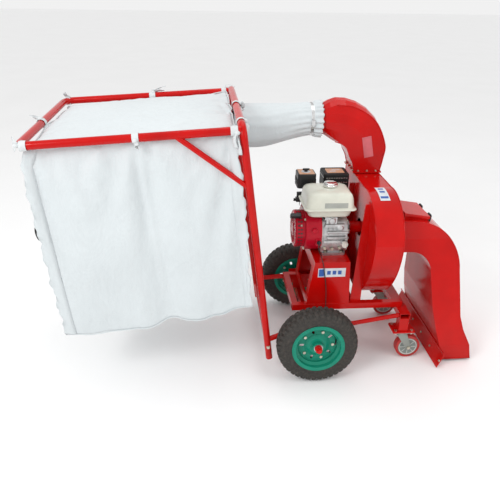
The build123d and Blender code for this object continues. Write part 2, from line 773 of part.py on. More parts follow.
STRIP_HALF = 318.0
STRIP_LEAN = 22.5
with BuildPart() as skirt_strip:
    with BuildSketch(Plane.XZ.offset(-STRIP_HALF)):
        with BuildLine():
            Polyline(
                (AXLE_X + 638.7, 88), (AXLE_X + 642.8, 70), (AXLE_X + 616, 4),
                (AXLE_X + 612, 5.5), (AXLE_X + 638.8, 71.5), (AXLE_X + 634.7, 88),
                close=True,
            )
        make_face()
    extrude(amount=2 * STRIP_HALF)
STRIP_BACK = Plane(
    origin=(AXLE_X + 626.1, 0, 40.2),
    x_dir=(0, 1, 0),
    z_dir=(-cos(radians(STRIP_LEAN)), 0, sin(radians(STRIP_LEAN))),
)
with BuildPart() as skirt_screws:
    with BuildSketch(STRIP_BACK):
        with GridLocations(125, 1, 6, 1):
            RegularPolygon(5.5, 6, major_radius=False)
    extrude(amount=4)
    add(skirt_strip.part, mode=Mode.SUBTRACT)
save(skirt_strip, "skirt_strip")
save(skirt_screws, "skirt_screws")


# Bag frame ------------------------------------------------------------------------------------------
HOOP_POINTS = (
    (FOOT_X, -FOOT_Y, FOOT_Z),
    (HOOP_X, -HOOP_Y, HOOP_Z),
    (HOOP_X, HOOP_Y, HOOP_Z),
    (FOOT_X, FOOT_Y, FOOT_Z),
)
RAIL_START_Y = 398.0
RAIL_START_Z = 1208.0
hoop_solid = round_bar(HOOP_POINTS, BAG_TUBE, 45)
with BuildPart() as bag_hoop:
    add(round_tube(HOOP_POINTS, BAG_TUBE, 2, 45))
save(bag_hoop, "bag_hoop")

RAIL_POINTS = (
    (HOOP_X, -RAIL_START_Y, RAIL_START_Z),
    (REAR_X, -HOOP_Y, REAR_Z),
    (REAR_X, HOOP_Y, REAR_Z),
    (HOOP_X, RAIL_START_Y, RAIL_START_Z),
)
rail_solid = round_bar(RAIL_POINTS, BAG_TUBE, 45)
with BuildPart() as bag_rail:
    add(round_tube(RAIL_POINTS, BAG_TUBE, 2, 45))
    add(hoop_solid, mode=Mode.SUBTRACT)
    with BuildSketch(Plane.YZ.offset(HOOP_X - 4)):
        with Locations((0, HOOP_Z)):
            Rectangle(900, 100)
    extrude(amount=80, mode=Mode.SUBTRACT)
save(bag_rail, "bag_rail")

BRACE_FOOT_Z = 975.0
BRACE_TOP_X = AXLE_X - 613.0
brace_foot_x, brace_foot_y = hoop_leg(BRACE_FOOT_Z)
brace_top_z = REAR_Z + (BRACE_TOP_X - REAR_X) / (HOOP_X - REAR_X) * (RAIL_START_Z - REAR_Z)
with BuildPart() as bag_braces:
    for side in (-1, 1):
        foot = (brace_foot_x, side * brace_foot_y, BRACE_FOOT_Z)
        top = (BRACE_TOP_X, side * 406.4, brace_top_z)
        add(round_tube([top, foot], 11, 2))
    add(hoop_solid, mode=Mode.SUBTRACT)
    add(rail_solid, mode=Mode.SUBTRACT)
    with BuildSketch(Plane.XY.offset(brace_top_z)):
        with Locations((BRACE_TOP_X, 0)):
            Rectangle(120, 900)
    extrude(amount=60, mode=Mode.SUBTRACT)
save(bag_braces, "bag_braces")

TIE_TUBE_Z = 160.0
ARM_Z = WHEEL_R + 36.0
tie_x, tie_y = hoop_leg(TIE_TUBE_Z)
arm_x, arm_y = hoop_leg(190)
with BuildPart() as bag_frame_arms:
    add(round_tube([(tie_x, -tie_y, TIE_TUBE_Z), (tie_x, tie_y, TIE_TUBE_Z)], 12.5, 2))
    for side in (-1, 1):
        points = [(arm_x, side * arm_y, 192), (AXLE_X - 70, side * 258.3, ARM_Z), (AXLE_X + 28, side * 258.3, ARM_Z)]
        add(round_tube(points, 12.5, 2.5, 60))
    add(hoop_solid, mode=Mode.SUBTRACT)
    for side in (-1, 1):
        with BuildSketch(Plane.XZ.offset(-side * 230)):
            with Locations((AXLE_X - 28, ARM_Z), (AXLE_X + 12, ARM_Z)):
                Circle(M8 + 0.2)
        extrude(amount=-side * 60, mode=Mode.SUBTRACT)
        with BuildSketch(Plane.XZ.offset(-side * 270.9)):
            with Locations((AXLE_X - 10, ARM_Z)):
                Rectangle(90, 60)
        extrude(amount=-side * 40, mode=Mode.SUBTRACT)
        with BuildSketch(Plane.XZ.offset(-side * (FOOT_Y + 26))):
            with Locations((arm_x - 40, 192)):
                Rectangle(60, 60)
        extrude(amount=side * 60, mode=Mode.SUBTRACT)
save(bag_frame_arms, "bag_frame_arms")


# Engine ---------------------------------------------------------------------------------------------
CASE_X = AXLE_X + 42.0
LEAN = 25.0


def head_plane(distance):
    """Plane across the cylinder's bore, at a distance from the crankshaft's axis."""
    along = (0, cos(radians(LEAN)), sin(radians(LEAN)))
    origin = (AXLE_X + 96, along[1] * distance, CRANK_Z + along[2] * distance)
    return Plane(origin=origin, x_dir=(1, 0, 0), z_dir=along)


with BuildPart() as crankcase:
    with BuildSketch(Plane.XY.offset(PED_TOP)):
        with Locations((ENGINE_BOLT_X, 0)):
            RectangleRounded(112, 190, 8)
    extrude(amount=BASE_FLANGE)
    with BuildSketch(fan_plane(CASE_X)):
        with BuildLine():
            Line((-84, -92), (84, -92))
            Line((84, -92), (92, 20))
            Line((92, 20), (40, 92))
            ThreePointArc((40, 92), (-60, 70), (-94, 0))
            Line((-94, 0), (-84, -92))
        make_face()
    extrude(amount=PTO_X - 22 - CASE_X)
    with BuildSketch(fan_plane(PTO_X - 22)):
        with BuildLine():
            Line((-88, -92), (88, -92))
            Line((88, -92), (90, 30))
            ThreePointArc((90, 30), (20, 88), (-62, 66))
            ThreePointArc((-62, 66), (-98, 10), (-88, -92))
        make_face()
    extrude(amount=10)
    with BuildSketch(fan_plane(PTO_X - 12)):
        Circle(58)
        with Locations((-62, -62)):
            Circle(17)
    extrude(amount=12)
    with BuildSketch(fan_plane(CASE_X + 10)):
        Circle(60)
    extrude(amount=PTO_X - CASE_X - 26, mode=Mode.SUBTRACT)
    with BuildSketch(fan_plane(CASE_X)):
        Circle(12.05)
    extrude(amount=200, mode=Mode.SUBTRACT)
    with BuildSketch(Plane(origin=(PTO_X - 24, -78, CRANK_Z - 40), z_dir=(0, -1, 0))):
        Circle(14)
    extrude(amount=30)
    with BuildSketch(Plane(origin=(PTO_X - 24, -98, CRANK_Z - 40), z_dir=(0, -1, 0))):
        Circle(8.1)
    extrude(amount=12, mode=Mode.SUBTRACT)
    with BuildSketch(Plane.XY.offset(PED_TOP)):
        with Locations((ENGINE_BOLT_X, 0)):
            with GridLocations(76, 162, 2, 2):
                Circle(M8 + 0.2)
    extrude(amount=BASE_FLANGE, mode=Mode.SUBTRACT)
    with BuildSketch(Plane.XY.offset(PED_TOP + BASE_FLANGE)):
        with Locations((ENGINE_BOLT_X, 0)):
            with GridLocations(76, 162, 2, 2):
                Rectangle(20, 24)
    extrude(amount=14, mode=Mode.SUBTRACT)
    with BuildSketch(head_plane(80)):
        Rectangle(140, 260)
    extrude(amount=60, mode=Mode.SUBTRACT)
save(crankcase, "crankcase")

with BuildPart() as cylinder:
    with BuildSketch(head_plane(80)):
        RectangleRounded(88, 84, 8)
        Circle(34, mode=Mode.SUBTRACT)
    extrude(amount=84)
    for k in range(7):
        with BuildSketch(head_plane(90 + 11 * k)):
            RectangleRounded(104, 108, 8)
            Circle(34, mode=Mode.SUBTRACT)
        extrude(amount=3)
    with BuildSketch(head_plane(164)):
        RectangleRounded(96, 100, 8)
    extrude(amount=26)
save(cylinder, "cylinder")

with BuildPart() as rocker_cover:
    with BuildSketch(head_plane(190)):
        RectangleRounded(70, 84, 12)
    extrude(amount=24)
    bore = head_plane(0)
    fillet(rocker_cover.edges().group_by(Axis(bore.origin, bore.z_dir))[-1], 5)
save(rocker_cover, "rocker_cover")

with BuildPart() as crankshaft:
    with BuildSketch(fan_plane(AXLE_X - 46)):
        Circle(9)
    extrude(amount=SHAFT_END - AXLE_X + 46)
    with BuildSketch(fan_plane(AXLE_X + 30)):
        Circle(12)
    extrude(amount=PTO_X - AXLE_X - 30)
    with BuildSketch(fan_plane(PTO_X)):
        Circle(STUB_R)
    extrude(amount=SHAFT_END - PTO_X)
    for start in (AXLE_X + 76, AXLE_X + 104):
        with BuildSketch(fan_plane(start)):
            with Locations((0, -10)):
                RectangleRounded(60, 86, 20)
        extrude(amount=12)
save(crankshaft, "crankshaft")

FLYWHEEL_X = AXLE_X - 20.0
with BuildPart() as flywheel:
    with BuildSketch(fan_plane(FLYWHEEL_X)):
        Circle(82)
    extrude(amount=22)
    with BuildSketch(fan_plane(FLYWHEEL_X - 12)):
        for k in range(16):
            with Locations((Rot(0, 0, 22.5 * k) * Pos(64, 0, 0))):
                Rectangle(26, 4)
    extrude(amount=12)
    with BuildSketch(fan_plane(FLYWHEEL_X - 14)):
        Circle(24)
    extrude(amount=14)
    with BuildSketch(fan_plane(FLYWHEEL_X - 20)):
        Circle(9)
    extrude(amount=60, mode=Mode.SUBTRACT)
save(flywheel, "flywheel")

SHROUD_X = AXLE_X - 36.0
SHROUD_R = 104.0
SHROUD_TOP = 98.0
SWITCH_X = AXLE_X + 26.0
SWITCH_Z = CRANK_Z - 30.0
SWITCH_FACE = -108.0
LEVER_X = AXLE_X - 27.0
LEVER_Y = 84.0
LEVER_Z = 739.0


def shroud_outline(inset):
    """Blower cover: round over the flywheel, flat under the tank, square towards the cylinder."""
    reach = SHROUD_R - inset
    top = SHROUD_TOP - inset
    shoulder = (reach**2 - top**2) ** 0.5
    ThreePointArc((-shoulder, top), (-reach, 0), (0, -reach))
    Line((0, -reach), (90 - inset, -70 + inset))
    Line((90 - inset, -70 + inset), (112 - inset, 60))
    Line((112 - inset, 60), (72, top))
    Line((72, top), (-shoulder, top))


with BuildPart() as fan_shroud:
    with BuildSketch(fan_plane(SHROUD_X)):
        with BuildLine():
            shroud_outline(0)
        make_face()
    extrude(amount=CASE_X - 1 - SHROUD_X)
    fillet(fan_shroud.edges().filter_by(Plane.YZ).group_by(Axis.X)[0], 6)
    with BuildSketch(Plane.XZ.offset(80)):
        with Locations((SWITCH_X, SWITCH_Z)):
            RectangleRounded(28, 34, 4)
    extrude(amount=-SWITCH_FACE - 80)
    with BuildSketch(Plane.XY.offset(LEVER_Z - 30)):
        with Locations((LEVER_X, LEVER_Y)):
            Circle(5)
    extrude(amount=29.7)
    with BuildSketch(fan_plane(SHROUD_X + 3)):
        with BuildLine():
            shroud_outline(3)
        make_face()
    extrude(amount=CASE_X - SHROUD_X, mode=Mode.SUBTRACT)
    with BuildSketch(Plane.XY.offset(LEVER_Z - 10)):
        with Locations((LEVER_X, LEVER_Y)):
            Circle(3)
    extrude(amount=15)
    with BuildSketch(fan_plane(SHROUD_X - 1)):
        Circle(78)
    extrude(amount=8, mode=Mode.SUBTRACT)
    with BuildSketch(Plane(origin=(AXLE_X + 4, -SHROUD_R + 3, CRANK_Z + 30), z_dir=(0, -1, 0))):
        Circle(12)
    extrude(amount=9)
save(fan_shroud, "fan_shroud")

RECOIL_X = AXLE_X - 83.0
RECOIL_R = 90.0
PULL = (0, -0.55, 0.835)
PULL_X = AXLE_X - 72.0


def pull_plane(distance, x):
    """Plane across the starter rope, at a distance from the crankshaft's axis."""
    return Plane(
        origin=(x, PULL[1] * distance, CRANK_Z + PULL[2] * distance),
        x_dir=(1, 0, 0),
        z_dir=PULL,
    )


with BuildPart() as recoil_cover:
    with BuildSketch(fan_plane(RECOIL_X)):
        Circle(RECOIL_R)
    extrude(amount=SHROUD_X - RECOIL_X)
    fillet(recoil_cover.edges().group_by(Axis.X)[0], 8)
    with BuildSketch(pull_plane(80, PULL_X)):
        Circle(9)
    extrude(amount=17)
    with BuildSketch(fan_plane(RECOIL_X + 4)):
        Circle(RECOIL_R - 4)
    extrude(amount=SHROUD_X - RECOIL_X, mode=Mode.SUBTRACT)
    with BuildSketch(fan_plane(RECOIL_X - 2)):
        for k in range(12):
            with Locations(Rot(0, 0, 30 * k + 15) * Pos(54, 0, 0)):
                SlotOverall(30, 9)
    extrude(amount=12, mode=Mode.SUBTRACT)
save(recoil_cover, "recoil_cover")

with BuildPart() as starter_handle:
    with BuildSketch(pull_plane(97.3, PULL_X - 10)):
        RectangleRounded(52, 20, 6)
    extrude(amount=17)
    fillet(starter_handle.edges().group_by(Axis((0, 0, 0), PULL))[-1], 3)
save(starter_handle, "starter_handle")

TANK_X = AXLE_X + 68.0
TANK_Y = -27.0
TANK_BOTTOM = 728.0
TANK_FLANGE_Z = 769.0
NECK_X = TANK_X + 12.0
NECK_Y = TANK_Y + 8.0


def tank_block(low, high, lower, upper):
    """Tapered block of the tank between two heights, each end given as length and width."""
    with BuildPart() as block:
        for z, (length, width) in ((low, lower), (high, upper)):
            with BuildSketch(Plane.XY.offset(z)):
                with Locations((TANK_X, TANK_Y)):
                    RectangleRounded(length, width, 26)
        loft(ruled=True)
    return block.part


with BuildPart() as fuel_tank:
    add(tank_block(TANK_BOTTOM, TANK_FLANGE_Z, (196, 176), (218, 196)))
    add(tank_block(TANK_FLANGE_Z, TANK_FLANGE_Z + 46, (228, 204), (214, 188)))
    add(tank_block(TANK_FLANGE_Z + 46, TANK_FLANGE_Z + 80, (214, 188), (160, 130)))
    with BuildSketch(Plane.XY.offset(TANK_FLANGE_Z - 2)):
        with Locations((TANK_X, TANK_Y)):
            RectangleRounded(242, 216, 20)
    extrude(amount=4)
    with BuildSketch(Plane.XY.offset(TANK_FLANGE_Z + 76)):
        with Locations((NECK_X, NECK_Y)):
            Circle(26)
    extrude(amount=14)
    add(tank_block(TANK_BOTTOM + 2, TANK_FLANGE_Z, (191, 171), (213, 191)), mode=Mode.SUBTRACT)
    add(tank_block(TANK_FLANGE_Z - 2, TANK_FLANGE_Z + 45, (213, 191), (209, 183)), mode=Mode.SUBTRACT)
    add(tank_block(TANK_FLANGE_Z + 44, TANK_FLANGE_Z + 77, (209, 183), (157, 127)), mode=Mode.SUBTRACT)
    with BuildSketch(Plane.XY.offset(TANK_FLANGE_Z + 60)):
        with Locations((NECK_X, NECK_Y)):
            Circle(23)
    extrude(amount=40, mode=Mode.SUBTRACT)
save(fuel_tank, "fuel_tank")

CAP_Z = TANK_FLANGE_Z + 81
with BuildPart() as fuel_cap:
    with BuildSketch(Plane.XY.offset(CAP_Z)):
        with Locations((NECK_X, NECK_Y)):
            Circle(34)
            Circle(26.3, mode=Mode.SUBTRACT)
    extrude(amount=9.5)
    with BuildSketch(Plane.XY.offset(CAP_Z + 9.5)):
        with Locations((NECK_X, NECK_Y)):
            Circle(34)
    extrude(amount=9)
    fillet(fuel_cap.edges().group_by(Axis.Z)[-1], 4)
save(fuel_cap, "fuel_cap")

with BuildPart() as oil_filler_cap:
    with BuildSketch(Plane(origin=(PTO_X - 24, -108.3, CRANK_Z - 40), z_dir=(0, -1, 0))):
        Circle(15)
    extrude(amount=12)
    with BuildSketch(Plane(origin=(PTO_X - 24, -108.3, CRANK_Z - 40), z_dir=(0, 1, 0))):
        Circle(8)
    extrude(amount=9)
    with BuildSketch(Plane(origin=(PTO_X - 24, -120.3, CRANK_Z - 40), z_dir=(0, -1, 0))):
        SlotOverall(26, 9)
    extrude(amount=8)
save(oil_filler_cap, "oil_filler_cap")

FILTER_X = AXLE_X - 8.0
FILTER_Y = 140.0
FILTER_Z = 798.0
with BuildPart() as air_cleaner_base:
    with BuildSketch(Plane.XY.offset(FILTER_Z)):
        with Locations((FILTER_X, FILTER_Y)):
            RectangleRounded(92, 96, 14)
    extrude(amount=10)
    with BuildSketch(Plane.XY.offset(FILTER_Z + 10)):
        with Locations((FILTER_X, FILTER_Y)):
            Circle(4)
    extrude(amount=68)
    with BuildSketch(Plane.XY.offset(FILTER_Z)):
        with Locations((FILTER_X + 10, FILTER_Y)):
            Circle(15)
    extrude(amount=-22)
with BuildPart() as air_filter:
    with BuildSketch(Plane.XY.offset(FILTER_Z + 10)):
        with Locations((FILTER_X, FILTER_Y)):
            RectangleRounded(70, 74, 12)
            RectangleRounded(40, 44, 8, mode=Mode.SUBTRACT)
    extrude(amount=46)
with BuildPart() as air_cleaner_cover:
    with BuildSketch(Plane.XY.offset(FILTER_Z + 10)):
        with Locations((FILTER_X, FILTER_Y)):
            RectangleRounded(90, 94, 14)
    extrude(amount=60)
    fillet(air_cleaner_cover.edges().group_by(Axis.Z)[-1], 5)
    with BuildSketch(Plane.XY.offset(FILTER_Z + 10)):
        with Locations((FILTER_X, FILTER_Y)):
            RectangleRounded(84, 88, 12)
    extrude(amount=56, mode=Mode.SUBTRACT)
    with BuildSketch(Plane.XY.offset(FILTER_Z + 60)):
        with Locations((FILTER_X, FILTER_Y)):
            Circle(4.4)
    extrude(amount=20, mode=Mode.SUBTRACT)
with BuildPart() as air_cleaner_knob:
    with BuildSketch(Plane.XY.offset(FILTER_Z + 70.6)):
        with Locations((FILTER_X, FILTER_Y)):
            Circle(9)
            Circle(4.05, mode=Mode.SUBTRACT)
    extrude(amount=7.6)
    with BuildSketch(Plane.XY.offset(FILTER_Z + 78.2)):
        with Locations((FILTER_X, FILTER_Y)):
            SlotOverall(34, 10)
    extrude(amount=8)
for node, name in (
    (air_cleaner_base, "air_cleaner_base"),
    (air_filter, "air_filter"),
    (air_cleaner_cover, "air_cleaner_cover"),
    (air_cleaner_knob, "air_cleaner_knob"),
):
    save(node, name)

with BuildPart() as carburettor:
    with BuildSketch(Plane.YZ.offset(AXLE_X - 12)):
        with Locations((128, 748)):
            RectangleRounded(42, 38, 6)
    extrude(amount=56)
    with BuildSketch(Plane.XY.offset(700)):
        with Locations((AXLE_X + 8, 128)):
            Circle(19)
    extrude(amount=30)
    with BuildSketch(Plane.XY.offset(767)):
        with Locations((FILTER_X + 10, FILTER_Y - 6)):
            Circle(13)
    extrude(amount=9)
save(carburettor, "carburettor")

with BuildPart() as throttle_lever:
    with BuildSketch(Plane.XY.offset(LEVER_Z)):
        with Locations((LEVER_X, LEVER_Y)):
            Circle(11)
        with Locations((LEVER_X - 24, LEVER_Y)):
            RectangleRounded(44, 11, 5)
        with Locations((LEVER_X, LEVER_Y)):
            Circle(3.05, mode=Mode.SUBTRACT)
    extrude(amount=3)
    with BuildSketch(Plane.XY.offset(LEVER_Z + 3)):
        with Locations((LEVER_X - 40, LEVER_Y)):
            Circle(5)
    extrude(amount=9)
save(throttle_lever, "throttle_lever")

with BuildPart() as muffler:
    with BuildSketch(Plane.XY.offset(792)):
        with Locations((AXLE_X + 138, 156)):
            RectangleRounded(126, 118, 14)
    extrude(amount=74)
    fillet(muffler.edges().group_by(Axis.Z)[-1], 6)
    with BuildSketch(Plane.XY.offset(794)):
        with Locations((AXLE_X + 138, 156)):
            RectangleRounded(122, 114, 12)
    extrude(amount=70, mode=Mode.SUBTRACT)
    with BuildSketch(Plane.XY.offset(745)):
        with Locations((AXLE_X + 120, 140)):
            Circle(15)
            Circle(12, mode=Mode.SUBTRACT)
    extrude(amount=48)
    add(cylinder.part, mode=Mode.SUBTRACT)
save(muffler, "muffler")

plug_seat = head_plane(177).origin
with BuildPart() as spark_plug:
    with BuildSketch(Plane(origin=(AXLE_X + 48, plug_seat.Y, plug_seat.Z), z_dir=(-1, 0, 0))):
        Circle(8)
    extrude(amount=44)
    with BuildSketch(Plane(origin=(AXLE_X + 14, plug_seat.Y, plug_seat.Z), z_dir=(0, 0, 1))):
        Circle(9)
    extrude(amount=22)
save(spark_plug, "spark_plug")

with BuildPart() as engine_switch:
    with BuildSketch(Plane(origin=(SWITCH_X, SWITCH_FACE - 0.3, SWITCH_Z), z_dir=(0, -1, 0))):
        Circle(10)
    extrude(amount=7)
    with BuildSketch(Plane(origin=(SWITCH_X, SWITCH_FACE - 7.3, SWITCH_Z), z_dir=(0, -1, 0))):
        SlotOverall(24, 8)
    extrude(amount=8)
save(engine_switch, "engine_switch")


# Bag, sleeve and clamp ------------------------------------------------------------------------------
CLOTH = 1.2
SLEEVE_R = 102.0
SLEEVE_Y = 236.0
SLEEVE_Z = 1078.0
SLEEVE_START = AXLE_X - 350.0


def sloped_plane(x_rear, z_rear, x_front, z_front):
    """Level across, sloping from rear to front, with its origin half way."""
    slope = atan2(z_front - z_rear, x_front - x_rear)
    return Plane(
        origin=((x_rear + x_front) / 2, 0, (z_rear + z_front) / 2),
        x_dir=(cos(slope), 0, sin(slope)),
        z_dir=(-sin(slope), 0, cos(slope)),
    )


# Rear and front edge of each level, as X and Z, and its half width.
BAG_LEVELS = (
    (AXLE_X - 1160, 1158, AXLE_X - 384, 1213, 380),
    (AXLE_X - 1181, 1090, AXLE_X - 378, 1140, 402),
    (AXLE_X - 1124, 322, AXLE_X - 291, 432, 386),
)


def bag_solid(inset):
    """Hanging sack through its levels, its walls moved in by an inset."""
    with BuildPart() as sack:
        for level, (x_rear, z_rear, x_front, z_front, half) in enumerate(BAG_LEVELS):
            shift = (-inset, 0, inset)[level]
            length = hypot(x_front - x_rear, z_front - z_rear)
            plane = sloped_plane(x_rear, z_rear, x_front, z_front).offset(shift)
            with BuildSketch(plane):
                RectangleRounded(length - 2 * inset, 2 * (half - inset), 20)
        loft(ruled=True)
    return sack.part


bag_outside = bag_solid(0)
bag_inside = bag_solid(CLOTH)
with BuildPart() as bag:
    add(bag_outside)
    add(bag_inside, mode=Mode.SUBTRACT)
    with BuildSketch(Plane.YZ.offset(AXLE_X - 420)):
        with Locations((SLEEVE_Y, SLEEVE_Z)):
            Circle(SLEEVE_R)
    extrude(amount=120, mode=Mode.SUBTRACT)
save(bag, "bag")

with BuildPart() as sleeve:
    for inset in (0, CLOTH):
        with BuildSketch(Plane.YZ.offset(SLEEVE_START)):
            with Locations((SLEEVE_Y, SLEEVE_Z)):
                Circle(SLEEVE_R - inset)
        with BuildSketch(Plane.YZ.offset(SPIGOT_END - 40)):
            with Locations((OUTLET_Y, MOUTH_Z)):
                Circle(SPIGOT_R + 3 - inset)
        loft(mode=Mode.SUBTRACT if inset else Mode.ADD)
    with BuildSketch(Plane.YZ.offset(SPIGOT_END - 40)):
        with Locations((OUTLET_Y, MOUTH_Z)):
            Circle(SPIGOT_R + 3)
            Circle(SPIGOT_R + 3 - CLOTH, mode=Mode.SUBTRACT)
    extrude(amount=MOUTH_X - SPIGOT_END + 22)
save(sleeve, "sleeve")

CLAMP_X = AXLE_X + 16.0
with BuildPart() as hose_clamp:
    with BuildSketch(Plane.YZ.offset(CLAMP_X)):
        with Locations((OUTLET_Y, MOUTH_Z)):
            Circle(SPIGOT_R + 4.5)
            Circle(SPIGOT_R + 3.2, mode=Mode.SUBTRACT)
    extrude(amount=14)
    with BuildSketch(Plane(origin=(CLAMP_X + 7, OUTLET_Y - SPIGOT_R - 10, MOUTH_Z), z_dir=(0, 0, 1))):
        Rectangle(16, 12)
    extrude(amount=13, both=True)
save(hose_clamp, "hose_clamp")


# Stop cable -----------------------------------------------------------------------------------------
CABLE_R = 2.0
CABLE_POINTS = (
    (SWITCH_X, -99, SWITCH_Z - 17.2),
    (SWITCH_X + 3, -112, SWITCH_Z - 44),
    (SWITCH_X + 8, -146, SWITCH_Z - 52),
    (SWITCH_X + 14, -178, SWITCH_Z - 78),
    (SWITCH_X + 24, -172.5, SWITCH_Z - 130),
    (SWITCH_X + 33, -173, SWITCH_Z - 180),
    (SWITCH_X + 38, -177, SWITCH_Z - 230),
    (SWITCH_X + 41, -174, SWITCH_Z - 280),
    (SWITCH_X + 43, -176, SWITCH_Z - 329),
)


def corner_radii(points):
    """Largest bend at each corner: 0.45 of the shorter run over the tangent of half the turn."""
    radii = []
    for before, corner, after in zip(points, points[1:], points[2:]):
        run_in = Vector(*corner) - Vector(*before)
        run_out = Vector(*after) - Vector(*corner)
        turn = run_in.get_angle(run_out)
        radii.append(0.45 * min(run_in.length, run_out.length) / tan(radians(turn / 2)))
    return radii


cable_radii = corner_radii(CABLE_POINTS)
with BuildPart() as stop_cable:
    with BuildLine() as route:
        FilletPolyline(*CABLE_POINTS, radius=cable_radii)
    with BuildSketch(Plane(origin=route.line @ 0, z_dir=route.line % 0)):
        Circle(CABLE_R)
    sweep()
save(stop_cable, "stop_cable")
print("cable radii", [round(r) for r in cable_radii])
print("cable length", round(route.wires()[0].length, 1))

with BuildPart() as cable_clip:
    with BuildSketch(Plane.XY.offset(RAIL_Z + 2)):
        with Locations((SWITCH_X + 43, -175)):
            Rectangle(14, 10)
    extrude(amount=12)
    add(stop_cable.part, mode=Mode.SUBTRACT)
save(cable_clip, "cable_clip")
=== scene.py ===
import json
from math import atan2, cos, exp, hypot, pi, radians, sin, sqrt, tau

import bmesh
import bpy
from mathutils import Matrix, Vector, noise


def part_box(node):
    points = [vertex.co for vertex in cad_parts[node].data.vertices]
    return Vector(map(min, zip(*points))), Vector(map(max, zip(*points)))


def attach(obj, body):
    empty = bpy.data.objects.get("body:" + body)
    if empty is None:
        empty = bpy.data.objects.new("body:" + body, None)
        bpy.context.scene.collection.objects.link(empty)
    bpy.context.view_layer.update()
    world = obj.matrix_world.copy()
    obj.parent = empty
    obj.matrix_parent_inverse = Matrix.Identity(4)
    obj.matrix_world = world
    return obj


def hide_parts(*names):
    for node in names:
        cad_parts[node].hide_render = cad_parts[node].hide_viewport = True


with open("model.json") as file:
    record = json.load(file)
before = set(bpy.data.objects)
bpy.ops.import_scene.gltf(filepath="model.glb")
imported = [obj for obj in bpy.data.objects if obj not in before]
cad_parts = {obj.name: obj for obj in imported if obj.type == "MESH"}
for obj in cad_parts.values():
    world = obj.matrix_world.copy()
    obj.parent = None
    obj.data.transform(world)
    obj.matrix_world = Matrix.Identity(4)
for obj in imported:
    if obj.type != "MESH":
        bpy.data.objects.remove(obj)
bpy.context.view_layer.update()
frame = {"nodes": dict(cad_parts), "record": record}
scene = bpy.context.scene
MACHINE = "machine"

# The axle is the working origin along X for most pieces.
tyre_low, tyre_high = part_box("right_tyre")
AXLE = (tyre_low[0] + tyre_high[0]) / 2
WHEEL_R = (tyre_high[0] - tyre_low[0]) / 2
TRACK = abs(tyre_low[1] + tyre_high[1]) / 2


def at(x, y, z):
    """Point given in millimetres from the axle, in the row frame in metres."""
    return Vector((AXLE + x / 1000, y / 1000, z / 1000))


def mm(x, y, z):
    """Offset given in millimetres."""
    return Vector((x, y, z)) / 1000


# Materials.
class Nodes:
    """Small helper around one material's node tree."""

    def __init__(self, name):
        self.material = bpy.data.materials.new(name)
        self.material.use_nodes = True
        self.tree = self.material.node_tree
        self.shader = self.tree.nodes["Principled BSDF"]
        self.coords = self.new("ShaderNodeTexCoord").outputs["Object"]

    def new(self, kind, inputs=None, **values):
        """New node; inputs as in feed, values are its own settings."""
        node = self.tree.nodes.new(kind)
        for key, value in values.items():
            setattr(node, key, value)
        self.feed(node, inputs or {})
        return node

    def feed(self, node, inputs):
        """Links each input that gets a socket and sets each that gets a number or colour."""
        for key, value in inputs.items():
            if isinstance(value, bpy.types.NodeSocket):
                self.tree.links.new(value, node.inputs[key])
            else:
                node.inputs[key].default_value = value

    def noise(self, scale, detail=4.0, stretch=None, rough=0.55):
        coords = self.coords
        if stretch:
            inputs = {"Vector": coords, "Scale": stretch}
            coords = self.new("ShaderNodeMapping", inputs).outputs["Vector"]
        inputs = {"Scale": scale, "Detail": detail, "Roughness": rough, "Vector": coords}
        return self.new("ShaderNodeTexNoise", inputs).outputs["Fac"]

    def wave(self, scale, axis, distortion=0.0):
        inputs = {"Scale": scale, "Distortion": distortion, "Vector": self.coords}
        return self.new("ShaderNodeTexWave", inputs, bands_direction=axis).outputs["Fac"]

    def ramp(self, fac, low, high, colours):
        node = self.new("ShaderNodeValToRGB", {"Fac": fac})
        for element, position, colour in zip(node.color_ramp.elements, (low, high), colours):
            element.position = position
            element.color = (*colour, 1)
        return node.outputs["Color"]

    def spread(self, fac, low, high):
        inputs = {"Value": fac, "To Min": low, "To Max": high}
        return self.new("ShaderNodeMapRange", inputs).outputs["Result"]

    def mix(self, fac, a, b):
        inputs = {"Factor": fac, "A": a, "B": b}
        return self.new("ShaderNodeMix", inputs, data_type="RGBA").outputs["Result"]

    def math(self, operation, a, b):
        return self.new("ShaderNodeMath", {0: a, 1: b}, operation=operation).outputs["Value"]

    def bump(self, height, strength, distance):
        """Adds a bump on top of those the shader already has."""
        inputs = {"Height": height, "Strength": strength, "Distance": distance}
        for link in self.shader.inputs["Normal"].links:
            inputs["Normal"] = link.from_socket
        self.surface(Normal=self.new("ShaderNodeBump", inputs).outputs["Normal"])

    def dusty(self, colour, dust, low, high, amount):
        """Ground dust that fades out with height, broken up by noise."""
        height = self.new("ShaderNodeSeparateXYZ", {"Vector": self.coords}).outputs["Z"]
        fade = self.new("ShaderNodeMapRange", {
            "Value": height, "From Min": low, "From Max": high, "To Min": amount, "To Max": 0.0,
        }).outputs["Result"]
        patches = self.math("MULTIPLY", fade, self.noise(22, 6))
        return self.mix(patches, colour, self.ramp(self.noise(60, 3), 0.3, 0.7, (dust, dim(dust, 0.8))))

    def surface(self, **inputs):
        """Feeds the shader's own inputs, named with _ for a space."""
        self.feed(self.shader, {key.replace("_", " "): value for key, value in inputs.items()})


def dim(colour, share):
    return tuple(c * share for c in colour)


def grey(share):
    return share, share, share


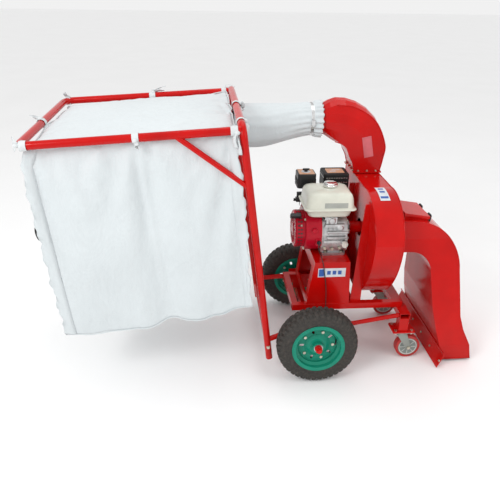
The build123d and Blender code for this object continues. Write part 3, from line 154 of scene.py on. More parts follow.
def painted(name, colour, rough=0.15, coat=0.15, dust=0.0):
    """Gloss enamel: slight colour drift, orange peel, fine scuffs and some road dust low down."""
    n = Nodes(name)
    base = n.ramp(n.noise(5, 5), 0.3, 0.72, (dim(colour, 0.74), colour))
    worn = n.ramp(n.noise(70, 8, (1, 1, 4)), 0.6, 0.8, (grey(0), grey(0.3)))
    pale = tuple(min(1, c * 1.15 + 0.012) for c in colour)
    shade = n.mix(worn, base, n.ramp(n.noise(40, 2), 0.4, 0.6, (pale, colour)))
    if dust:
        shade = n.dusty(shade, (0.16, 0.10, 0.07), 0.0, 0.42, dust)
    n.surface(
        Base_Color=shade, Roughness=n.spread(n.noise(22, 6), rough - 0.05, rough + 0.12),
        IOR=1.28, Coat_IOR=1.35, Coat_Weight=coat, Coat_Roughness=0.06,
    )
    n.bump(n.noise(200, 2), 0.08, 0.0005)
    n.bump(n.noise(7, 2), 0.22, 0.003)
    return n.material


def plastic(name, colour, rough=0.45):
    """Moulded plastic with a fine spark-eroded grain."""
    n = Nodes(name)
    n.surface(
        Base_Color=n.ramp(n.noise(18, 5), 0.3, 0.7, (dim(colour, 0.75), colour)),
        Roughness=n.spread(n.noise(60, 4), rough - 0.08, rough + 0.12),
    )
    n.bump(n.noise(900, 2), 0.25, 0.0003)
    return n.material


def metal(name, colour, rough=0.3, cast=0.0, brushed=None, tarnish=0.3):
    """Bare metal: cast grain or brushing, with darker tarnish."""
    n = Nodes(name)
    n.surface(
        Base_Color=n.ramp(n.noise(25, 7), 0.32, 0.66, (dim(colour, 1 - tarnish), colour)), Metallic=1.0,
        Roughness=n.spread(n.noise(45, 5), rough - 0.07, rough + 0.12),
    )
    if cast:
        n.bump(n.noise(420, 5), cast, 0.0007)
    if brushed:
        n.bump(n.noise(140, 3, brushed), 0.2, 0.0003)
    return n.material


def rubber(name, colour, rough=0.62, dust=0.5):
    """Matt rubber with fine crazing and ground dust."""
    n = Nodes(name)
    base = n.ramp(n.noise(12, 6), 0.3, 0.7, (dim(colour, 0.7), colour))
    grime = n.ramp(n.noise(85, 10, rough=0.7), 0.42, 0.75, (grey(0), grey(dust)))
    earth = n.ramp(n.noise(70, 3), 0.3, 0.7, ((0.17, 0.13, 0.10), (0.10, 0.085, 0.07)))
    n.surface(
        Base_Color=n.mix(grime, base, earth),
        Roughness=n.spread(n.noise(50, 5), rough - 0.1, rough + 0.15),
    )
    n.bump(n.noise(350, 6), 0.35, 0.0008)
    return n.material


def cloth(name, colour, weave=330.0, wrinkle=0.5):
    """Woven polyester: warp and weft, soft creases and a thin sheen."""
    n = Nodes(name)
    tint = n.ramp(n.noise(3.2, 6), 0.3, 0.7, (dim(colour, 0.88), colour))
    warp, weft, cross = (n.wave(weave, axis, 1.2) for axis in "XZY")
    threads = n.math("MAXIMUM", n.math("MAXIMUM", warp, weft), cross)
    thread_tone = n.ramp(threads, 0.15, 0.85, (dim(colour, 0.9), colour))
    half = n.ramp(n.noise(15, 4), 0.35, 0.65, (grey(0.35), grey(0.65)))
    n.surface(
        Base_Color=n.mix(half, tint, thread_tone), Roughness=n.spread(n.noise(20, 4), 0.72, 0.92),
        Sheen_Weight=0.25, Sheen_Roughness=0.45, Specular_IOR_Level=0.25,
    )
    n.bump(threads, 0.18, 0.0004)
    crease = n.math("ABSOLUTE", n.math("SUBTRACT", n.noise(4.5, 5, (1, 1, 0.8)), 0.5), 0.0)
    n.bump(n.ramp(crease, 0.0, 0.05, (grey(1), grey(0))), wrinkle * 0.35, 0.003)
    n.bump(n.noise(26, 7, rough=0.62), wrinkle * 0.5, 0.004)
    n.bump(n.noise(7.5, 5, (1.6, 1.6, 0.55)), wrinkle, 0.010)
    return n.material


RED = painted("red_enamel", (0.58, 0.003, 0.002), dust=0.10)
ENGINE_RED = painted("engine_enamel", (0.52, 0.005, 0.022), rough=0.2)
TEAL = painted("teal_enamel", (0.003, 0.27, 0.175), rough=0.22, dust=0.14)
CREAM = painted("tank_enamel", (0.80, 0.81, 0.70), rough=0.18, coat=0.3)
CASTER_GREY = painted("caster_enamel", (0.33, 0.36, 0.33), rough=0.32, coat=0.05, dust=0.3)
BLACK_HEAT = painted("heat_paint", (0.018, 0.018, 0.018), rough=0.45, coat=0.0)
TYRE = rubber("tyre_rubber", (0.022, 0.019, 0.016), dust=0.34)
RED_TREAD = rubber("red_tread", (0.50, 0.014, 0.012), rough=0.38, dust=0.2)
BLACK_RUBBER = rubber("black_rubber", (0.014, 0.014, 0.014), rough=0.5, dust=0.1)
BLACK = plastic("black_plastic", (0.015, 0.015, 0.016), 0.38)
WHITE = plastic("white_plastic", (0.74, 0.73, 0.66), 0.35)
GREY_CORE = plastic("caster_core", (0.22, 0.25, 0.23), 0.45)
PALE_RING = plastic("caster_ring", (0.62, 0.62, 0.58), 0.4)
PEACH = plastic("peach_label", (0.78, 0.42, 0.24), 0.4)
LABEL = plastic("blank_label", (0.72, 0.76, 0.80), 0.35)
LABEL_BLUE = plastic("blank_label_blue", (0.03, 0.11, 0.42), 0.35)
LABEL_GREY = plastic("blank_label_grey", (0.42, 0.44, 0.40), 0.4)
LABEL_FADED = plastic("blank_label_faded", (0.62, 0.13, 0.15), 0.4)
FOAM = plastic("filter_foam", (0.35, 0.33, 0.26), 0.8)
ZINC = metal("zinc", (0.74, 0.70, 0.58), 0.32, tarnish=0.35)
STEEL = metal("machined_steel", (0.58, 0.58, 0.57), 0.28, brushed=(1, 12, 1))
CHROME = metal("chrome", (0.86, 0.85, 0.83), 0.12, tarnish=0.12)
ALLOY = metal("cast_alloy", (0.66, 0.67, 0.67), 0.42, cast=0.5, tarnish=0.35)
IRON = metal("cast_iron", (0.22, 0.22, 0.22), 0.5, cast=0.5)
CLAMP = metal("clamp_band", (0.80, 0.80, 0.80), 0.2, brushed=(14, 1, 1))
BAG_CLOTH = cloth("bag_cloth", (0.64, 0.685, 0.70), wrinkle=0.8)
TIE_CLOTH = cloth("tie_cloth", (0.66, 0.69, 0.70), wrinkle=0.25)

SLOT_MATERIALS = {
    "red_paint": RED, "engine_red": ENGINE_RED, "tyre_rubber": TYRE, "rim_teal": TEAL, "zinc": ZINC,
    "bearing_steel": STEEL, "caster_grey": CASTER_GREY, "caster_core_plastic": GREY_CORE,
    "caster_tread": RED_TREAD, "engine_alloy": ALLOY, "engine_steel": STEEL, "cast_iron": IRON,
    "tank_paint": CREAM, "cap_chrome": CHROME, "black_plastic": BLACK, "white_plastic": WHITE,
    "black_steel": BLACK_HEAT, "black_rubber": BLACK_RUBBER, "foam": FOAM, "bag_cloth": BAG_CLOTH,
    "clamp_steel": CLAMP, "cable_jacket": BLACK_RUBBER,
}
for part in frame["record"]["subparts"]:
    node = frame["nodes"][part["node"]]
    for place in node.material_slots:
        place.material = SLOT_MATERIALS[part["material_slot"]]
    if not node.material_slots:
        node.data.materials.append(SLOT_MATERIALS[part["material_slot"]])


# Building blocks.
def in_scene(name, data):
    """New object on the scene's own collection."""
    obj = bpy.data.objects.new(name, data)
    scene.collection.objects.link(obj)
    return obj


def piece(name, bm, material, body=MACHINE, smooth=True):
    """New object from a bmesh, on a body, with a material."""
    mesh = bpy.data.meshes.new(name)
    bm.to_mesh(mesh)
    bm.free()
    obj = in_scene(name, mesh)
    mesh.materials.append(material)
    for face in mesh.polygons:
        face.use_smooth = smooth
    if body:
        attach(obj, body)
    return obj


def flat_piece(name, material, slot, *blocks):
    """Piece made of flat-shaded blocks, each as add_block takes it."""
    bm = bmesh.new()
    for block in blocks:
        add_block(bm, *block)
    return piece(name, bm, material, smooth=False)


def solidify(obj, thickness, offset=-1.0):
    modifier = obj.modifiers.new("thick", "SOLIDIFY")
    modifier.thickness = thickness
    modifier.offset = offset


def box_of(node):
    """A node's lowest and highest corners and its middle."""
    low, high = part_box(node)
    return low, high, tuple((a + b) / 2 for a, b in zip(low, high))


def turns(count):
    """Evenly spaced angles of one turn."""
    return [tau * k / count for k in range(count)]


def ripple(*place):
    """Smooth noise at a place, from about -1 to 1."""
    return noise.noise(Vector(place))


def bevel(obj, width, segments=2, angle=35):
    modifier = obj.modifiers.new("bevel", "BEVEL")
    modifier.width = width
    modifier.segments = segments
    modifier.limit_method = "ANGLE"
    modifier.angle_limit = radians(angle)
    modifier.harden_normals = True


def frame_along(direction):
    """Rotation that takes local Z to a direction."""
    return Vector(direction).to_track_quat("Z", "Y").to_matrix()


def add_rings(bm, rings, caps=True):
    """Skins a list of rings of points."""
    rows = [[bm.verts.new(p) for p in ring] for ring in rings]
    count = len(rows[0])
    for low, high in zip(rows, rows[1:]):
        for k in range(count):
            bm.faces.new((low[k], low[(k + 1) % count], high[(k + 1) % count], high[k]))
    if caps:
        bm.faces.new(list(reversed(rows[0])))
        bm.faces.new(rows[-1])


def add_turned(bm, origin, direction, profile, segments=32, caps=True):
    """Solid of revolution: profile is a list of (radius, distance along the direction)."""
    turn = frame_along(direction)
    origin = Vector(origin)
    rings = [
        [origin + turn @ Vector((radius * cos(a), radius * sin(a), along)) for a in turns(segments)]
        for radius, along in profile
    ]
    add_rings(bm, rings, caps=caps)


def half_round(radius, along, thick, start=0.0):
    """Profile of a bead on a turned face: half a circle in eight steps."""
    angles = [start + pi * k / 8 for k in range(9)]
    return [(radius + thick * cos(a), along + thick * sin(a)) for a in angles]


def add_block(bm, centre, size, turn=None):
    """Box with its centre, size and optional rotation."""
    centre = Vector(centre)
    corners = []
    for sz in (-1, 1):
        for sx, sy in ((-1, -1), (1, -1), (1, 1), (-1, 1)):
            local = Vector((sx * size[0] / 2, sy * size[1] / 2, sz * size[2] / 2))
            corners.append(bm.verts.new(centre + (turn @ local if turn else local)))
    for quad in ((3, 2, 1, 0), (4, 5, 6, 7), (0, 1, 5, 4), (1, 2, 6, 5), (2, 3, 7, 6), (3, 0, 4, 7)):
        bm.faces.new([corners[k] for k in quad])


def add_hex(bm, origin, direction, half, height, washer=0.0):
    """Hexagon bolt head with a chamfered top, on a washer if one is given."""
    turn = frame_along(direction)
    origin = Vector(origin)
    if washer:
        disc = ((washer, 0), (washer, height * 0.28), (washer * 0.9, height * 0.34))
        add_turned(bm, origin, direction, disc, 24)
        origin = origin + turn @ Vector((0, 0, height * 0.3))
    across = half / cos(pi / 6)
    profile = ((across, 0), (across, height * 0.82), (across * 0.86, height))
    add_turned(bm, origin, direction, profile, 6)


def path_points(points, per_run=8):
    """Catmull-Rom line through the points."""
    out = []
    points = [Vector(p) for p in points]
    padded = [2 * points[0] - points[1], *points, 2 * points[-1] - points[-2]]
    for a, b, c, d in zip(padded, padded[1:], padded[2:], padded[3:]):
        for k in range(per_run):
            t = k / per_run
            square, cube = 2 * a - 5 * b + 4 * c - d, 3 * b - 3 * c + d - a
            out.append(0.5 * (2 * b + (c - a) * t + square * t * t + cube * t ** 3))
    out.append(points[-1])
    return out


def add_pipe(bm, points, radius, segments=12):
    """Round pipe along a line of points; radius is a number or a function of the share along it."""
    rings = []
    count = len(points)
    side = None
    for k, p in enumerate(points):
        ahead = points[min(k + 1, count - 1)] - points[max(k - 1, 0)]
        ahead.normalize()
        if side is None:
            side = ahead.orthogonal().normalized()
        side = (side - ahead * side.dot(ahead)).normalized()
        up = ahead.cross(side)
        r = radius(k / (count - 1)) if callable(radius) else radius
        rings.append([p + r * (cos(a) * side + sin(a) * up) for a in turns(segments)])
    add_rings(bm, rings)


def add_ribbon(bm, points, across, width, thickness=0.0012):
    """Flat strap along a line; across is its width direction at each point or one direction for all."""
    rings = []
    count = len(points)
    for k, p in enumerate(points):
        ahead = (points[min(k + 1, count - 1)] - points[max(k - 1, 0)]).normalized()
        wide = across[k] if isinstance(across, list) else Vector(across)
        wide = (wide - ahead * wide.dot(ahead)).normalized()
        out = ahead.cross(wide)
        w = width(k / (count - 1)) if callable(width) else width
        a, b = wide * w / 2, out * thickness / 2
        rings.append([p - a - b, p + a - b, p + a + b, p - a + b])
    add_rings(bm, rings)


# Main wheels.
def smooth_step(low, high, value):
    t = min(1.0, max(0.0, (value - low) / (high - low)))
    return t * t * (3 - 2 * t)


def band(value, centre, half, edge):
    """1 inside a band about centre, 0 outside it, with soft edges."""
    return 1 - smooth_step(half - edge, half + edge, abs(value - centre))


def tyre_profile():
    """Outside of the tyre from bead to bead: (radius, width) in millimetres, even on the tread."""
    shoulder = [
        (132, 42.6), (136, 43.6), (139, 44.6), (142, 44.0),
        (150, 45.2), (158, 45.6), (165, 44.8), (170, 43.4),
    ]
    points = [(109, -38.5), (116, -39.6)] + [(r, -w) for r, w in shoulder]
    tread = 34
    for k in range(tread + 1):
        w = -42.0 + 84.0 * k / tread
        points.append((190 - 12.5 * (abs(w) / 42) ** 3.2, w))
    points += [(r, w) for r, w in reversed(shoulder)] + [(116, 39.6), (109, 38.5)]
    return points


def build_tyre(hand, side):
    """Knobbly tread blocks, shoulder lugs and raised sidewall rings."""
    around = 576
    profile = tyre_profile()
    bm = bmesh.new()
    rows = []
    for radius, width in profile:
        row = []
        for k in range(around):
            turn = k / around
            r, w = radius, width
            if radius > 160:
                row_shift = 0.5 if abs(w) > 15 else 0.0
                slant = abs(w) * 0.010
                phase = (turn * 40 + row_shift + slant) % 1.0
                block = band(phase, 0.5, 0.31, 0.07)
                groove = band(abs(w), 15.5, 2.2, 1.4) + band(abs(w), 0.0, 0.9, 0.9) * 0.5
                block *= 1 - min(1.0, groove)
                depth = 6.5 * (1 - block)
                edge = smooth_step(158, 176, radius)
                r -= depth * edge * (0.75 if abs(w) > 41 else 1.0)
                w -= (1.8 * (1 - block) * edge if abs(w) > 36 else 0.0) * (1 if w > 0 else -1)
            elif 118 < radius < 160:
                rib = band((turn * 80) % 1.0, 0.5, 0.25, 0.12) * smooth_step(148, 158, radius)
                w += 0.7 * rib * (1 if w > 0 else -1)
            a = tau * turn
            row.append(bm.verts.new((r / 1000 * cos(a), w / 1000, r / 1000 * sin(a))))
        rows.append(row)
    for low, high in zip(rows, rows[1:]):
        for k in range(around):
            bm.faces.new((low[k], high[k], high[(k + 1) % around], low[(k + 1) % around]))
    for row in (rows[0], rows[-1]):
        inner = [bm.verts.new((v.co.x * 0.995, v.co.y * 0.7, v.co.z * 0.995)) for v in row]
        for k in range(around):
            nxt = (k + 1) % around
            bm.faces.new((row[k], row[nxt], inner[nxt], inner[k]))
    bmesh.ops.recalc_face_normals(bm, faces=bm.faces)
    for vert in bm.verts:
        vert.co += Vector((AXLE, side * TRACK, WHEEL_R))
    tyre = piece(f"{hand}_tyre_tread", bm, TYRE, f"{hand}_wheel")
    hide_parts(f"{hand}_tyre")


def build_rim_details(hand, side):
    """Pressed rings on the disc, rolled rim edge and valve stem."""
    centre = Vector((AXLE, side * TRACK, WHEEL_R))
    out = Vector((0, side, 0))
    bm = bmesh.new()
    rings = ((0.0875, 0.0068, 0.0022), (0.0560, 0.0078, 0.0020), (0.1205, 0.0425, 0.0026))
    for radius, height, thick in rings:
        add_turned(bm, centre, out, half_round(radius, height - 0.0006, thick), 96, caps=False)
    piece(f"{hand}_rim_rings", bm, TEAL, f"{hand}_wheel")
    bm = bmesh.new()
    a = radians(18)
    foot = centre + out * 0.012 + Vector((0.090 * cos(a), 0, 0.090 * sin(a)))
    tip = foot + out * 0.030 - Vector((0.010 * cos(a), 0, 0.010 * sin(a)))
    stem = [foot, foot.lerp(tip, 0.4), foot.lerp(tip, 0.75), tip]
    add_pipe(bm, stem, lambda t: 0.0038 if t < 0.7 else 0.0045, 14)
    piece(f"{hand}_valve", bm, BLACK_RUBBER, f"{hand}_wheel")


for hand, side in (("right", -1), ("left", 1)):
    build_tyre(hand, side)
    build_rim_details(hand, side)


# Casters.
for hand, side in (("right", -1), ("left", 1)):
    low, high, middle = box_of(f"{hand}_caster_core")
    half = (high[1] - low[1]) / 2
    ring = (
        (0.0465, half - 0.002), (0.0465, half + 0.0012),
        (0.0425, half + 0.0012), (0.0405, half - 0.002),
    )
    bm = bmesh.new()
    for face in (-1, 1):
        out = Vector((0, face, 0))
        add_turned(bm, middle, out, ring, 64, caps=False)
        for a in turns(8):
            arm = Vector((cos(a), 0, sin(a)))
            spot = Vector(middle) + out * half + arm * 0.027
            add_block(bm, spot, (0.026, 0.0018, 0.0030), Matrix.Rotation(-a, 3, "Y"))
    body = f"{hand}_caster_wheel"
    piece(f"{hand}_caster_spokes", bm, PALE_RING, body, smooth=False)
    low, high, middle = box_of(f"{hand}_caster_fork")
    swivel = (low[0] + 0.025, middle[1], high[2])
    bm = bmesh.new()
    for drop in (0.0085, 0.0140):
        add_turned(bm, swivel, (0, 0, 1), half_round(0.0255, -drop, 0.0030, -pi / 2), 48, caps=False)
    piece(f"{hand}_caster_race", bm, STEEL, f"{hand}_caster")


# Cloth bag.
# Rear and front edge of each level in millimetres from the axle, and half width, bottom first.
BAG = ((-1124, 324, -296, 436, 384), (-1178, 1092, -380, 1142, 399), (-1160, 1160, -386, 1212, 380))
SLEEVE_Y, SLEEVE_Z, SLEEVE_R = 236.0, 1078.0, 102.0
COLS, ROWS, SIDES = 44, 46, 42
TIES = {
    "near_rear": (-1176, -404), "near_middle": (-756, -404), "near_front": (-384, -398),
    "far_rear": (-1176, 404), "far_middle": (-751, 404), "far_front": (-392, 398),
    "rear_middle": (-1180, -52), "front_middle": (-366, -14),
}

# The cloth simulation's settings, its frames, and how far it may move a point.
HANG = {
    "quality": 6, "mass": 0.25, "air_damping": 3.0, "tension_stiffness": 18,
    "compression_stiffness": 12, "shear_stiffness": 6, "bending_stiffness": 0.08,
    "tension_damping": 12, "vertex_group_mass": "ties", "pin_stiffness": 1.0,
    "shrink_min": -0.034, "use_pressure": True, "uniform_pressure_force": 0.35,
}
HANG_FRAMES, HANG_REACH = 34, 0.045
# How far the cloth may stand out of its solid's box, and the share of its height below the rim.
CLOTH_SPARE = 0.024
RIM_SHARE = 0.915
MOUTH_R = 0.094


def bag_point(u, v, w):
    """Point of the hanging bag: u from rear to front, v across, w from the bottom up."""
    if w < RIM_SHARE:
        t, low, high = w / RIM_SHARE, BAG[0], BAG[1]
    else:
        t, low, high = (w - RIM_SHARE) / (1 - RIM_SHARE), BAG[1], BAG[2]
    rear_x, rear_z, front_x, front_z, half = (a + (b - a) * t for a, b in zip(low, high))
    x = rear_x + (front_x - rear_x) * u
    z = rear_z + (front_z - rear_z) * u
    sag = -32 * sin(pi * u) ** 0.7 * (1 - w) ** 3
    notch = exp(-(((u - 0.56) / 0.07) ** 2)) * (1 - w) ** 3 * (1 - v) ** 2
    return x, (2 * v - 1) * half + 14 * notch, z + sag + 16 * notch


def tie_pull(x, y):
    """1 at a tie and falling away from it, for points near the top edge."""
    nearest = min(hypot(x - tx, (y - ty) * 0.9) for tx, ty in TIES.values())
    return exp(-((nearest / 55) ** 2))


def fan_folds(x, z, w):
    """Creases that fan down from the three ties of a long side, in millimetres."""
    push = 0.0
    for tie_x, count in ((-1176, 5), (-756, 9), (-388, 5)):
        top = 1156 + (tie_x + 1180) * 0.064
        run = hypot(x - tie_x, top - z)
        angle = atan2(x - tie_x, max(1.0, top - z))
        push += 11 * cos(count * angle + tie_x) * exp(-run / 480) * min(1.0, run / 90)
    return push * (1 - w ** 8)


def build_bag():
    """Closed sack on a box grid, hung from its ties with gravity by cloth simulation."""
    bm = bmesh.new()
    index = {}
    pins = {}

    def vert(i, j, k):
        if (i, j, k) not in index:
            u, v, w = i / COLS, j / SIDES, k / ROWS
            x, y, z = bag_point(u, v, w)
            if k == ROWS:
                z += 30 * sin(pi * u) ** 0.7 * sin(pi * v) ** 0.7
            wobble = ripple(*Vector((x, y, z)) * 0.006) * 5
            fold = ripple(x * 0.012, y * 0.012, z * 0.0022) * 9 * (1 - w * 0.6)
            push = Vector((0, 0, 0))
            if j in (0, SIDES) and 0 < i < COLS:
                push.y = (wobble + fold + fan_folds(x, z, w)) * (1 if j else -1)
            if i in (0, COLS) and 0 < j < SIDES:
                push.x = (wobble + fold) * (1 if i else -1)
            if k == 0:
                push.z = wobble * 1.5
            index[i, j, k] = bm.verts.new(at(x + push.x, y + push.y, z + push.z))
            held = tie_pull(x, y) if k >= ROWS - 1 else 0.0
            if k == ROWS:
                held = max(held, 0.35) if i in (0, COLS) or j in (0, SIDES) else 0.25
            if i == COLS:
                mouth = hypot(y - SLEEVE_Y, z - SLEEVE_Z)
                held = max(held, exp(-(max(0, mouth - SLEEVE_R) / 25) ** 2))
            pins[i, j, k] = held
        return index[i, j, k]

    def grid(count_a, count_b, corner):
        for a in range(count_a):
            for b in range(count_b):
                square = ((a, b), (a + 1, b), (a + 1, b + 1), (a, b + 1))
                bm.faces.new([vert(*corner(*spot)) for spot in square])

    grid(COLS, SIDES, lambda a, b: (a, b, ROWS))
    grid(COLS, SIDES, lambda a, b: (COLS - a, b, 0))
    grid(COLS, ROWS, lambda a, b: (a, 0, b))
    grid(COLS, ROWS, lambda a, b: (COLS - a, SIDES, b))
    grid(SIDES, ROWS, lambda a, b: (0, SIDES - a, b))
    grid(SIDES, ROWS, lambda a, b: (COLS, a, b))
    bm.verts.index_update()
    order = {key: vertex.index for key, vertex in index.items()}
    mesh = bpy.data.meshes.new("bag_cloth_body")
    bm.to_mesh(mesh)
    bm.free()
    bag = in_scene("bag_cloth_body", mesh)
    start = [v.co.copy() for v in mesh.vertices]
    group = bag.vertex_groups.new(name="ties")
    for key, weight in pins.items():
        group.add([order[key]], min(1.0, weight), "REPLACE")
    modifier = bag.modifiers.new("hang", "CLOTH")
    for name, value in HANG.items():
        setattr(modifier.settings, name, value)
    modifier.collision_settings.use_collision = False
    modifier.point_cache.frame_start = 1
    modifier.point_cache.frame_end = HANG_FRAMES
    for step in range(HANG_FRAMES):
        scene.frame_set(step + 1)
    depsgraph = bpy.context.evaluated_depsgraph_get()
    settled = [v.co.copy() for v in bag.evaluated_get(depsgraph).data.vertices]
    bag.modifiers.clear()
    scene.frame_set(1)
    for vertex, rest, moved in zip(mesh.vertices, start, settled):
        shift = moved - rest
        if shift.length > HANG_REACH:
            shift *= HANG_REACH / shift.length
        vertex.co = rest + shift
    return bag, order


def keep_in_box(mesh, low, high, spare):
    """Keeps a soft piece inside its solid's box, with a little to spare."""
    for vertex in mesh.vertices:
        for axis in range(3):
            vertex.co[axis] = min(high[axis] + spare, max(low[axis] - spare, vertex.co[axis]))


bag, bag_index = build_bag()
bag_low, bag_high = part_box("bag")
keep_in_box(bag.data, bag_low, bag_high, CLOTH_SPARE)
bag.data.materials.append(BAG_CLOTH)
bag_spots = {key: bag.data.vertices[number].co.copy() for key, number in bag_index.items()}

# The mouth for the sleeve is cut out of the front.
cut = bmesh.new()
cut.from_mesh(bag.data)
mouth = at(-420, SLEEVE_Y, SLEEVE_Z)
doomed = []
for face in cut.faces:
    spot = face.calc_center_median()
    if hypot(spot.y - mouth.y, spot.z - mouth.z) < MOUTH_R and spot.x > mouth.x:
        doomed.append(face)
bmesh.ops.delete(cut, geom=doomed, context="FACES")
bmesh.ops.recalc_face_normals(cut, faces=cut.faces)
cut.to_mesh(bag.data)
cut.free()
for face in bag.data.polygons:
    face.use_smooth = True
smoothing = bag.modifiers.new("smooth", "SUBSURF")
smoothing.levels = smoothing.render_levels = 1
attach(bag, MACHINE)
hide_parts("bag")


def seam_line(keys, outwards=0.001):
    """Points along a bag edge, just outside the cloth."""
    centre = at(-760, 0, 760)
    line = []
    for key in keys:
        p = bag_spots[key]
        line.append(p + (p - centre).normalized() * outwards)
    return line


bm = bmesh.new()
for i in (0, COLS):
    for j in (0, SIDES):
        add_pipe(bm, seam_line([(i, j, k) for k in range(ROWS + 1)]), 0.0016, 8)
for k, radius in ((ROWS, 0.0030), (0, 0.0024)):
    ring = [(i, 0, k) for i in range(COLS + 1)] + [(COLS, j, k) for j in range(1, SIDES + 1)]
    ring += [(i, SIDES, k) for i in reversed(range(COLS))] + [(0, j, k) for j in reversed(range(SIDES))]
    add_pipe(bm, seam_line(ring), radius, 8)
piece("bag_seams", bm, BAG_CLOTH)

# Wide hems sewn over the near corners, with small ruffles on their free edge.
bm = bmesh.new()
for i, step, out in ((0, 1, Vector((-1, -0.15, 0))), (COLS, -1, Vector((1, -0.15, 0)))):
    verts = []
    for k in range(ROWS + 1):
        corner = bag_spots[i, 0, k]
        ruffle = 0.0035 * sin(k * 1.1) + 0.0030 * sin(k * 2.7 + i)
        reach = 0.009 + 0.004 * sin(k * 0.9) + 0.003 * sin(k * 2.1)
        row = [
            bag_spots[i + 2 * step, 0, k] + mm(0, -0.6, 0), bag_spots[i + step, 0, k] + mm(0, -2.6, 0),
            corner + mm(0, -3, 0), corner + out * reach + Vector((0, ruffle - 0.004, 0)),
        ]
        verts.append([bm.verts.new(q) for q in row])
    for low, high in zip(verts, verts[1:]):
        for m in range(3):
            bm.faces.new((low[m], low[m + 1], high[m + 1], high[m]))
solidify(piece("bag_hems", bm, BAG_CLOTH), 0.0012)

# Webbing handle behind the bag.
bm = bmesh.new()
loop = ((-1166, 835), (-1186, 815), (-1196, 780), (-1188, 742), (-1160, 722))
strap = path_points([at(x, -300, z) for x, z in loop])
add_ribbon(bm, strap, Vector((0, 1, 0)), 0.038, 0.003)
piece("bag_handle", bm, BLACK_RUBBER)


# Ties.
TUBE_R = 0.0175
KNOT = ((0.004, 0), (0.010, 0.004), (0.0115, 0.009), (0.009, 0.014), (0.003, 0.017))


def add_tie(bm, seed, centre, along, tails):
    """Cloth band round the tube, a knot and its tails, in millimetres from the band."""
    turn = frame_along(along)
    rings = []
    for k in range(9):
        s = (k / 8 - 0.5) * (0.026 + 0.004 * sin(seed * 3))
        ring = []
        for a in turns(28):
            rumple = abs(ripple(cos(a) * 2, sin(a) * 2 + seed, s * 160))
            r = TUBE_R + 0.0012 + 0.0030 * rumple - 0.0006 * (abs(k - 4) / 4)
            ring.append(centre + turn @ Vector((r * cos(a), r * sin(a), s)))
        rings.append(ring)
    add_rings(bm, rings, caps=False)
    knot = centre + mm(*tails[0][0])
    add_turned(bm, knot - mm(0, 0, 8), (0, 0, 1), KNOT, 14)
    for tail in tails:
        line = path_points([centre + mm(*p) for p in tail], 6)
        wide = [
            Vector((sin(seed + 0.13 * k), cos(seed * 2 + 0.11 * k), 0.55 + 0.3 * sin(0.4 * k)))
            for k in range(len(line))
        ]
        add_ribbon(bm, line, wide, lambda t: 0.020 + 0.004 * sin(7 * t + seed), 0.0014)


# Each tie's place, the tube's direction there, and its tails.
rail_z = 1156 + (1180 - 756) / 818 * 52
TIE_ROWS = (
    ((-1160, -409, 1157), (1, 0, 0.06), (
        ((-22, -12, 4), (-26, -14, -4), (-30, -14, -14)), ((-22, -8, 8), (-28, -10, 22), (-33, -4, 26)),
    )),
    ((-756, -404, rail_z), (1, 0, 0.064), (((0, -16, -6), (5, -20, -22), (8, -18, -38)),)),
    ((-392, -399, 1206), (1, 0, 0.064), (
        ((10, -17, -4), (14, -20, -40), (22, -16, -88)), ((8, -16, 0), (-2, -20, -30), (6, -18, -62)),
    )),
    ((-362, -330, 1221), (0, 1, 0), (((14, 0, 6), (24, -12, -8), (20, -24, -34)),)),
    ((-362, -14, 1221), (0, 1, 0), (((12, 4, 8), (28, 10, 2), (32, 14, -26)),)),
    ((-398, 400, 1205), (1, 0, 0.064), (((4, 6, 18), (30, 4, 26), (52, -4, 18)),)),
    ((-751, 404, rail_z), (1, 0, 0.064), (
        ((4, 0, 18), (34, 4, 36), (66, 6, 46)), ((0, 0, 18), (26, 2, 26), (58, -2, 26)),
    )),
    ((-1162, 409, 1157), (1, 0, 0.06), (((0, -4, 18), (-10, -14, 32), (-2, -18, 36)),)),
    ((-1180, -52, 1156), (0, 1, 0), (((-4, 0, 18), (-22, -8, 26), (-33, -24, 34)),)),
)
bm = bmesh.new()
for number, (place, along, tails) in enumerate(TIE_ROWS):
    add_tie(bm, number + 1.0, at(*place), along, tails)
piece("bag_ties", bm, TIE_CLOTH)


# Sleeve.
sleeve_low, sleeve_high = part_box("sleeve")
clamp_low, _, clamp_middle = box_of("hose_clamp")
CLAMP_X = clamp_middle[0]
CLAMP_Y, CLAMP_Z, CLAMP_R = 270.0, 1097.0, 0.0775


